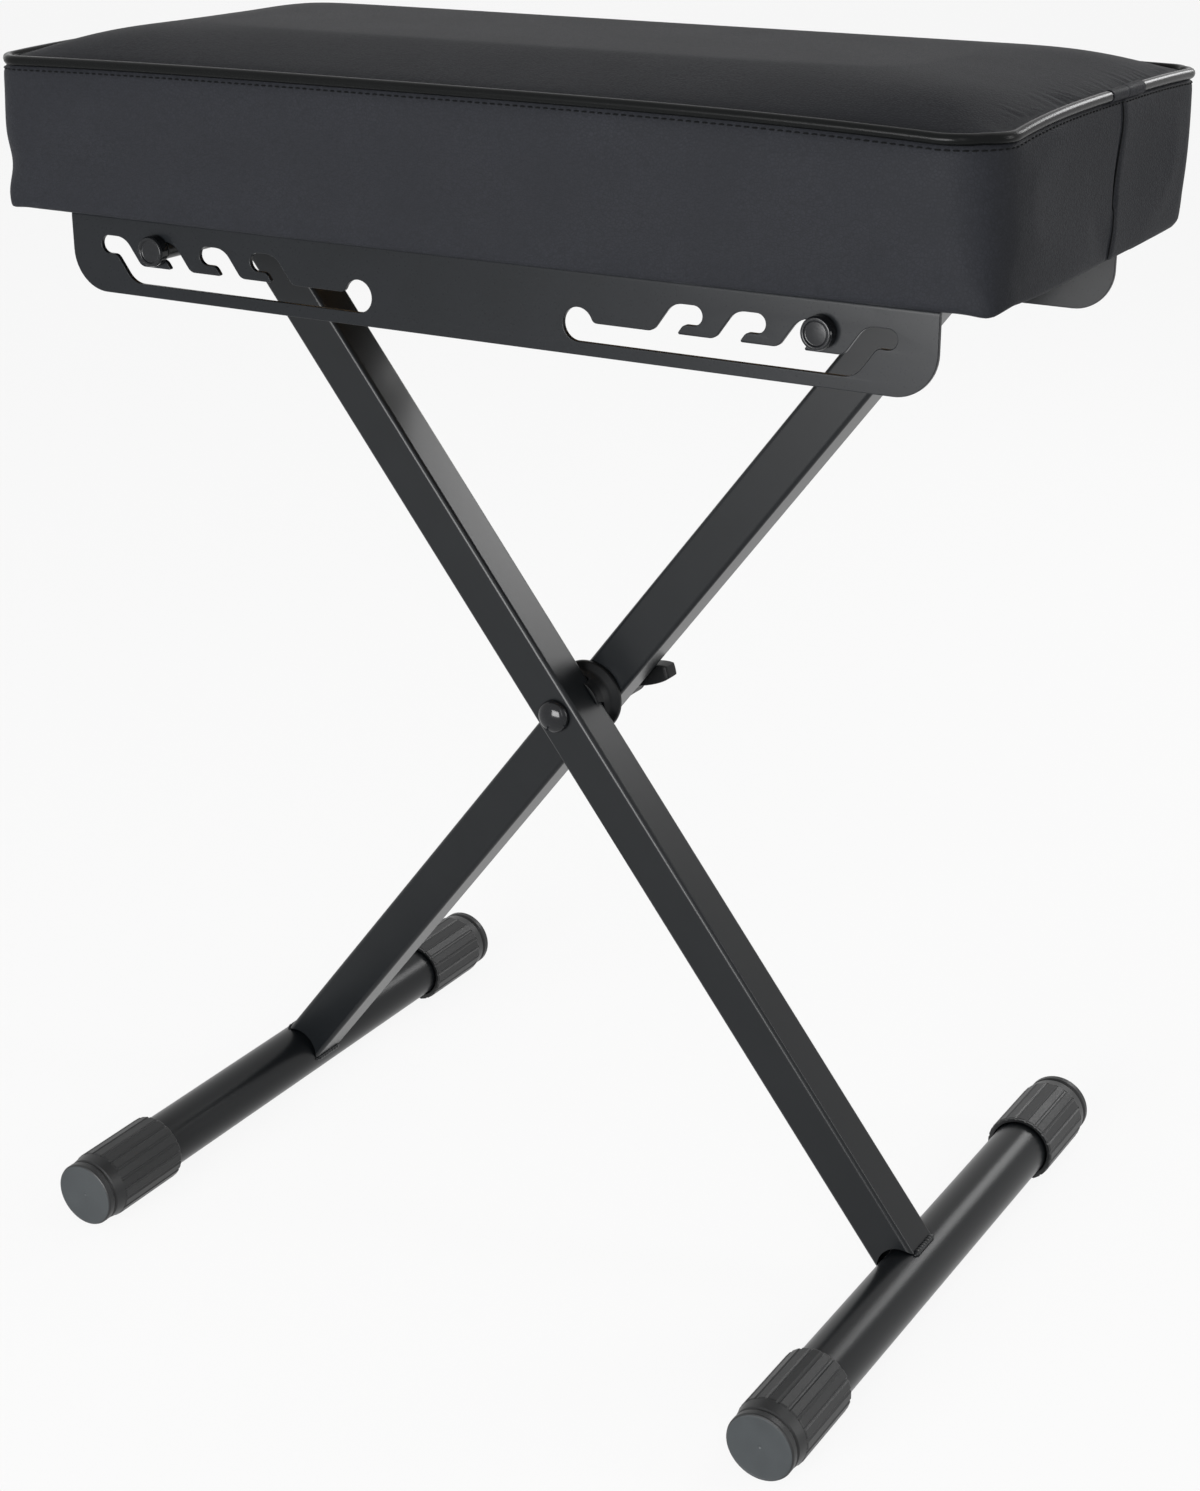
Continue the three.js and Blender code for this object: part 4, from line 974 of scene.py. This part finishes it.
def seat_points(long_steps, short_steps):
    """Points round the seat, counterclockwise from above."""
    points = []
    for side in range(4):
        steps = long_steps if side % 2 == 0 else short_steps
        points += [side_point(side, k / steps) for k in range(steps)]
    return points


def seat_ring(points, inset_of, height_of):
    """A ring round the seat. A deep inset draws the hubs in as well, so that its corners stay open."""
    ring = []
    for point in points:
        inset = inset_of(point)
        shift = max(0, inset - 0.8 * point.radius)
        hub = Vector([reach * (1 - shift / (half - point.radius))
                      for reach, half in zip(point.hub, SEAT_HALF)])
        place = hub + point.outward * (point.radius - inset + shift)
        ring.append(Vector((place.x, place.y, height_of(point))))
    return ring


def seam_height(point):
    return PIPING_Z - point.drop * point.weight


def hem_height(point):
    return HEM_BOTTOM + point.lift * point.weight - point.tip * point.bend ** 2


def crown_height(x, y):
    """Height of the stuffed top. It rises from each side, so its corners stay low, and they pull it down
    further near the seam."""
    corner = CORNER_SIGNS.index((1 if x > 0 else -1, 1 if y > 0 else -1))
    radius = CORNER_RADII[corner]
    hub_x, hub_y = SEAT_HALF.x - radius, SEAT_HALF.y - radius
    past_x, past_y = abs(x) - hub_x, abs(y) - hub_y
    distance = radius - math.hypot(max(past_x, 0), max(past_y, 0)) - min(max(past_x, past_y), 0)
    weight = (min(1, abs(x) / hub_x) * min(1, abs(y) / hub_y)) ** 3
    near_seam, near_end, near_side = [
        (1 - clamped((inset - SEAM_INSET) / CROWN_RUN)) ** 3
        for inset in (distance, SEAT_HALF.x - abs(x), SEAT_HALF.y - abs(y))]
    return PIPING_Z - CORNER_DROPS[corner] * weight * near_seam + CROWN * (1 - near_end) * (1 - near_side)


def hem_slackened(share, ring):
    """A ring at a share of the band's height, moved towards +X where the band hangs slack."""
    for place in ring:
        along_x = clamped((place.x - SLACK_START.x) / SLACK_RUN.x)
        along_y = clamped((SLACK_START.y - place.y) / SLACK_RUN.y)
        place.x += HEM_SLACK * along_x ** 2 * along_y * (1 - share) ** FLARE_POWER
    return ring


def band_ring(points, share):
    """A ring of the side band at a share of its height, from the hem up to the seam."""
    hollow = math.sin(math.pi * share)

    def inset_of(point):
        drawn = BAND_HOLLOW * (1 - point.weight) * hollow + HEM_TUCK * (1 - share) ** 2
        drawn -= CORNER_FULLNESS * point.weight * hollow
        drawn += point.pinch * point.bend ** 2 * math.exp(-((share - PINCH_MIDDLE) / PINCH_REACH) ** 2)
        return 0.3 + drawn - point.flare * point.bend ** 2 * (1 - share) ** FLARE_POWER

    def height_of(point):
        hem = hem_height(point)
        return hem + (seam_height(point) - hem) * share

    return hem_slackened(share, seat_ring(points, inset_of, height_of))


def cover_rows():
    """Rings from the lining up to the seam groove, and the numbers of those that are free to swell."""
    points = seat_points(LONG_STEPS, SHORT_STEPS)
    rows = [seat_ring(points, lambda p, i=inset: i, lambda p, h=height: HEM_BOTTOM + h)
            for inset, height in LINING]
    rows += [hem_slackened(0.02, seat_ring(points, lambda p, i=inset: i - 0.8 * p.flare * p.bend ** 2,
                                           lambda p, h=height: hem_height(p) + h))
             for inset, height in LOWER_EDGE]
    band = [band_ring(points, 0.035 + 0.925 * k / BAND_ROWS) for k in range(1, BAND_ROWS + 1)]
    groove = [seat_ring(points, lambda p, i=inset: i + p.bend ** 2, lambda p, u=up: seam_height(p) + u)
              for inset, up in ((3.4, -0.6), (3.3, 0.9))]
    return rows + band + groove, range(len(rows), len(rows) + len(band))


def add_top(shape, top):
    """The crowned top panel, as a grid that spans the ring of vertices round its seam."""
    count = len(top)
    grid = {}
    for i in range(LONG_STEPS + 1):
        grid[i, 0] = top[i]
        grid[i, SHORT_STEPS] = top[(2 * LONG_STEPS + SHORT_STEPS - i) % count]
    for j in range(SHORT_STEPS + 1):
        grid[LONG_STEPS, j] = top[LONG_STEPS + j]
        grid[0, j] = top[(count - j) % count]
    for i in range(1, LONG_STEPS):
        for j in range(1, SHORT_STEPS):
            u, v = i / LONG_STEPS, j / SHORT_STEPS
            across = grid[0, j].co.lerp(grid[LONG_STEPS, j].co, u)
            along = grid[i, 0].co.lerp(grid[i, SHORT_STEPS].co, v)
            near = grid[0, 0].co.lerp(grid[LONG_STEPS, 0].co, u)
            far = grid[0, SHORT_STEPS].co.lerp(grid[LONG_STEPS, SHORT_STEPS].co, u)
            place = across + along - near.lerp(far, v)
            grid[i, j] = shape.verts.new((place.x, place.y, crown_height(place.x, place.y)))
    for i in range(LONG_STEPS):
        for j in range(SHORT_STEPS):
            shape.faces.new([grid[i, j], grid[i + 1, j], grid[i + 1, j + 1], grid[i, j + 1]])


def cushion_shape():
    """The stuffed cover, open above the board: lining, folded lower edge, side band, seam groove and
    crowned top. Its rows that stay where they are sewn or stapled are marked as held."""
    rows, free = cover_rows()
    shape = bmesh.new()
    held = shape.verts.layers.int.new("held")
    made = [[shape.verts.new(point) for point in row] for row in rows]
    for index, row in enumerate(made):
        for vert in row:
            vert[held] = 0 if index in free else 1
    for lower, upper in zip(made, made[1:]):
        skin_between(shape, lower, upper)
    add_top(shape, made[-1])
    bmesh.ops.recalc_face_normals(shape, faces=shape.faces)
    return shape


SWELL_CAP = 1.6
SWELL_FRAMES = 20


def swell(shape):
    """The cover as air pressure and its own stiffness leave it, with each point's move capped."""
    shape.transform(Matrix.Scale(MM, 4))
    held = shape.verts.layers.int["held"]
    fixed = [vert.index for vert in shape.verts if vert[held]]
    start = [vert.co.copy() for vert in shape.verts]
    cover = as_object("cover", shape)
    cover.vertex_groups.new(name="sewn").add(fixed, 1.0, "REPLACE")
    cloth = cover.modifiers.new("cloth", "CLOTH")
    cloth.settings.quality = 5
    cloth.settings.mass = 0.2
    cloth.settings.tension_stiffness = 20
    cloth.settings.compression_stiffness = 20
    cloth.settings.bending_stiffness = 4
    cloth.settings.shrink_min = 0.0
    cloth.settings.use_pressure = True
    cloth.settings.uniform_pressure_force = 3.5
    cloth.settings.vertex_group_mass = "sewn"
    cloth.settings.effector_weights.gravity = 0
    cloth.point_cache.frame_start = 1
    cloth.point_cache.frame_end = SWELL_FRAMES
    scene = bpy.context.scene
    for number in range(1, SWELL_FRAMES + 1):
        scene.frame_set(number)
    swollen = final_shape(cover)
    scene.frame_set(1)
    swollen.verts.ensure_lookup_table()
    for vert, before in zip(swollen.verts, start):
        move = vert.co - before
        if move.length > SWELL_CAP * MM:
            vert.co = before + move.normalized() * (SWELL_CAP * MM)
    swollen.transform(Matrix.Scale(1 / MM, 4))
    return swollen


# The band's closing seam on the right end: its place at the piping, and its lean over the band's height
SEAM_Y = 16.0
SEAM_LEAN = 2.0 / 56
GROOVE_DEPTH = 0.7
GROOVE_WIDTH = 1.2
LAP_HEIGHT = 0.8
LAP_RUN = 20.0
# Gathers run in from the piping, and are deeper on the right end
GATHER_PITCH = 4.2
GATHER_RUN = 22.0
GATHER_DEPTH = 0.16
GATHER_DEPTH_RIGHT = 0.7


def seam_y(z):
    return SEAM_Y + SEAM_LEAN * (z - PIPING_Z)


def work_cover(shape):
    """Marks of the sewing on the finished cover: gathers beside the piping, and the seam that closes the
    band into a loop on the right side, its rear edge lapped over the front one."""
    for vert in shape.verts:
        x, y, z = vert.co
        if z > PIPING_Z + 0.5:
            in_x, in_y = SEAT_HALF.x - abs(x), SEAT_HALF.y - abs(y)
            inset, along = (in_x, y) if in_x < in_y else (in_y, x)
            near = max(0.0, 1 - inset / GATHER_RUN) ** 2 * clamped((inset - 2.6) / 2)
            strength = GATHER_DEPTH_RIGHT if x > 0 and in_x < in_y else GATHER_DEPTH
            phase = along / GATHER_PITCH + 1.6 * noise.noise(Vector((along * 0.06, inset * 0.02, 5.0)))
            rough = 0.6 + 0.8 * noise.noise(Vector((along * 0.11, inset * 0.05, 1.0)))
            vert.co.z += strength * near * rough * math.sin(FULL_TURN * phase)
        elif x > SEAT_HALF.x - 10 and z > HEM_BOTTOM + 0.6 and z < PIPING_Z - 2:
            off = y - seam_y(z)
            groove = GROOVE_DEPTH * math.exp(-(off / GROOVE_WIDTH) ** 2)
            lap = LAP_HEIGHT * math.exp(-off / LAP_RUN) if off > 0 else 0.0
            vert.co.x += lap - groove
        slack = 0.35 * noise.noise(Vector((x * 0.02, y * 0.02, z * 0.035)))
        if HEM_BOTTOM + 4 < z < PIPING_Z - 3:
            vert.co += Vector((x / SEAT_HALF.x, y / SEAT_HALF.y, 0)) * slack


def tube_along(places, radius, steps=10):
    """A closed tube along a line of places, with rounded ends."""
    rings = [[places[0]]]
    for index, place in enumerate(places):
        ahead = (places[min(index + 1, len(places) - 1)] - places[max(index - 1, 0)]).normalized()
        side = ahead.orthogonal() if abs(ahead.z) > 0.9 else ahead.cross(Vector((0, 0, 1)))
        side.normalize()
        up = side.cross(ahead)
        size = radius * (0.7 if index in (0, len(places) - 1) else 1.0)
        rings.append([place + size * (side * math.cos(a) + up * math.sin(a)) for a in angles_round(steps)])
    rings.append([places[-1]])
    return loft(rings)


def on_cover(tree, place, towards):
    """The point of the cover that a line from outside meets, and its outward direction."""
    hit, normal, _, _ = tree.ray_cast(place - towards * 40, towards)
    return (hit, normal) if hit else (place, -towards)


# The real stitches are too fine to show, so they are drawn a little coarser
STITCH_PITCH = 3.2
STITCH_LENGTH = 2.1
STITCH_RADIUS = 0.3
STITCH_LINE = 3.4
STAPLE_COUNTS = 15, 7
STAPLE_INSET = 9.5
STAPLE_HALF = 5.0
STAPLE_WIRE = 0.35


def stitch_shapes(tree):
    """A row of short stitches on the band just under the piping, each sunk into the cover."""
    points = seat_points(round(2 * SEAT_HALF.x / STITCH_PITCH), round(2 * SEAT_HALF.y / STITCH_PITCH))
    stitches = []
    for point in points:
        seam = point.hub + point.outward * point.radius
        inwards = Vector((-point.outward.x, -point.outward.y, 0))
        start = Vector((seam.x, seam.y, seam_height(point) - STITCH_LINE))
        hit, normal = on_cover(tree, start, inwards)
        run = Vector((0, 0, 1)).cross(normal).normalized() * (STITCH_LENGTH / 2)
        arch = normal * 0.18
        stitches.append(tube_along([hit - run - arch, hit - run * 0.5 + arch, hit + run * 0.5 + arch,
                                    hit + run - arch], STITCH_RADIUS, steps=6))
    return gathered(stitches)


def seam_shade_cord_shape(tree):
    """A thin dark cord that lies in the groove of the band's closing seam: painted shade that darkens the
    groove's line.
    """
    places = []
    for k in range(33):
        z = HEM_BOTTOM + 1.5 + (PIPING_Z - HEM_BOTTOM - 5) * k / 32
        hit, normal = on_cover(tree, Vector((SEAT_HALF.x, seam_y(z), z)), Vector((-1, 0, 0)))
        places.append(hit + normal * 0.05)
    return tube_along(places, 0.32, steps=8)


def staple_shapes():
    """Wire staples that hold the hem up to the board, seen from below."""
    staples = []
    for point in seat_points(*STAPLE_COUNTS):
        place = point.hub + point.outward * (point.radius - STAPLE_INSET)
        run = Vector((-point.outward.y, point.outward.x, 0)) * STAPLE_HALF
        crown = Vector((place.x, place.y, HEM_BOTTOM - 0.15))
        up = Vector((0, 0, 0.9))
        staples.append(tube_along([crown - run + up, crown - run * 0.96, crown + run * 0.96,
                                   crown + run + up], STAPLE_WIRE, steps=6))
    return gathered(staples)


PIPING_RADIUS = 2.0
PIPING_INSET = 1.3


def piping_shape():
    """The piping, a closed ring that draws in where it goes round a corner."""
    points = seat_points(200, 94)
    rings = []
    for angle in angles_round(14):
        across, up = PIPING_RADIUS * math.cos(angle), PIPING_RADIUS * math.sin(angle)
        rings.append(seat_ring(points, lambda p, a=across: PIPING_INSET + 1.4 * p.bend ** 2 - a,
                               lambda p, u=up: seam_height(p) + u))
    return loft(rings, looped=True)


def piping_lap_shapes():
    """Two sleeves of cover vinyl over the piping, where its ends were joined on the right side."""
    laps = []
    for start, end, radius in ((2.5, 18.4, 2.35), (17.4, 34.0, 2.5)):
        rows = []
        for share, fullness in ((0, 0.72), (0, 0.93), (0.03, 1), (0.25, 0.97), (0.5, 1), (0.75, 0.98),
                                (0.97, 1), (1, 0.93), (1, 0.72)):
            y = start + (end - start) * share
            z = PIPING_Z - CORNER_DROPS[2] * (y / SEAT_HALF.y) ** 3
            reach = radius * fullness
            rows.append([Vector((SEAT_HALF.x - PIPING_INSET + reach * math.cos(a), y,
                                 z + reach * math.sin(a))) for a in angles_round(24)])
        laps.append(loft(rows))
    return gathered(laps)


def add_cushion():
    shape = cushion_shape()
    shape = swell(shape)
    cover = as_object("cover", shape)
    cover.modifiers.new("finer", "SUBSURF").levels = 1
    shape = final_shape(cover)
    work_cover(shape)
    rims = [edge for edge in shape.edges if edge.is_boundary]
    bmesh.ops.edgeloop_fill(shape, edges=rims)
    bmesh.ops.recalc_face_normals(shape, faces=shape.faces)
    tree = BVHTree.FromBMesh(shape)
    shape.transform(Matrix.Scale(MM, 4))
    cushion = as_object("cushion_cover", shape)
    cushion.data.materials.append(COVER_VINYL)
    cushion.data.shade_smooth()
    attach(cushion, "seat")
    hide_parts("foam_block", "cover_top_panel", "cover_side_band")

    add_piece("cushion_piping", piping_shape(), PIPING_VINYL, "seat", ["cover_piping"],
              crease=70)
    add_piece("piping_laps", piping_lap_shapes(), COVER_VINYL, "seat", crease=50)
    # A dark cord in the seam groove: painted shade for the groove's line
    add_piece("seam_groove_shade_cord", seam_shade_cord_shape(tree), THREAD_AND_SEAM_SHADE, "seat",
              crease=70)
    add_piece("piping_stitches", stitch_shapes(tree), THREAD_AND_SEAM_SHADE, "seat", crease=70)
    add_piece("hem_staples", staple_shapes(), ZINC_PLATE, "seat", crease=50)


# Floor and light
def seen_rays(tree, rays):
    """1 for the rays that show the background: those from the camera, off gloss and through glass."""
    passed_on = add_node(tree, "ShaderNodeMath", {
        0: rays.outputs["Is Glossy Ray"], 1: rays.outputs["Is Transmission Ray"]}, operation="MAXIMUM")
    seen = add_node(tree, "ShaderNodeMath", {
        0: rays.outputs["Is Camera Ray"], 1: passed_on.outputs["Value"]}, operation="MAXIMUM")
    return seen.outputs["Value"]


FLOOR_HALF = 6
FLOOR_CLEAR = 0.9
FILL_LIGHT = 0.3
LAMP_TARGET = Vector((0, 0, 0.28))


def add_floor():
    """A pale floor that keeps the shadow. It is mostly clear to the rays that show the background, so the
    feet still show where they pass below it as the bench folds."""
    shape = bmesh.new()
    bmesh.ops.create_grid(shape, x_segments=1, y_segments=1, size=FLOOR_HALF)
    floor = as_object("studio_floor", shape)
    finish = bpy.data.materials.new("white_floor")
    finish.use_nodes = True
    tree = finish.node_tree
    tree.nodes.clear()
    rays = add_node(tree, "ShaderNodeLightPath")
    paint = add_node(tree, "ShaderNodeBsdfDiffuse", {"Color": linear("#e6e6e5")})
    clear = add_node(tree, "ShaderNodeBsdfTransparent")
    seen_share = add_node(tree, "ShaderNodeMath", {0: seen_rays(tree, rays), 1: FLOOR_CLEAR},
                          operation="MULTIPLY")
    share = add_node(tree, "ShaderNodeMath", {
        0: seen_share.outputs["Value"], 1: rays.outputs["Is Shadow Ray"]}, operation="ADD")
    blend = add_node(tree, "ShaderNodeMixShader", {
        0: share.outputs["Value"], 1: paint.outputs["BSDF"], 2: clear.outputs["BSDF"]})
    add_node(tree, "ShaderNodeOutputMaterial", {"Surface": blend.outputs["Shader"]})
    floor.data.materials.append(finish)


def add_world():
    """White where it is seen, and an even fill light from all round the studio."""
    world = bpy.data.worlds.new("studio")
    bpy.context.scene.world = world
    world.use_nodes = True
    tree = world.node_tree
    tree.nodes.clear()
    rays = add_node(tree, "ShaderNodeLightPath")
    strength = add_node(tree, "ShaderNodeMix", {0: seen_rays(tree, rays), 2: FILL_LIGHT, 3: 1.0},
                        data_type="FLOAT")
    sky = add_node(tree, "ShaderNodeBackground", {"Strength": strength.outputs[0]})
    sky.inputs["Color"].default_value = (1, 1, 1, 1)
    add_node(tree, "ShaderNodeOutputWorld", {"Surface": sky.outputs["Background"]})


def add_lamps():
    """Softboxes that all face the middle of the bench: place and size in metres, power in watts."""
    for name, place, width, height, power in (
            ("front_softbox", (-0.05, -2.0, 0.38), 1.2, 0.8, 62),
            ("top_softbox", (0.6, 0.7, 1.9), 1.3, 1.0, 2),
            ("front_strip", (1.05, -1.35, 0.85), 0.16, 1.1, 3),
            ("rear_softbox", (0.55, 1.5, 1.05), 0.7, 0.35, 7),
            ("right_strip", (1.8, 0.6, 0.7), 0.35, 1.1, 9)):
        lamp = bpy.data.lights.new(name, "AREA")
        lamp.shape = "RECTANGLE"
        lamp.size = width
        lamp.size_y = height
        lamp.energy = power
        holder = bpy.data.objects.new(name, lamp)
        holder.visible_camera = False
        bpy.context.scene.collection.objects.link(holder)
        aim = (LAMP_TARGET - Vector(place)).to_track_quat("-Z", "Y")
        holder.matrix_world = Matrix.Translation(place) @ aim.to_matrix().to_4x4()


add_floor()
add_world()
add_lamps()
add_feet()
add_rods()
add_legs()
add_pivot()
add_rails()
add_cushion()

bpy.context.scene.view_settings.view_transform = "Standard"
bpy.context.view_layer.update()
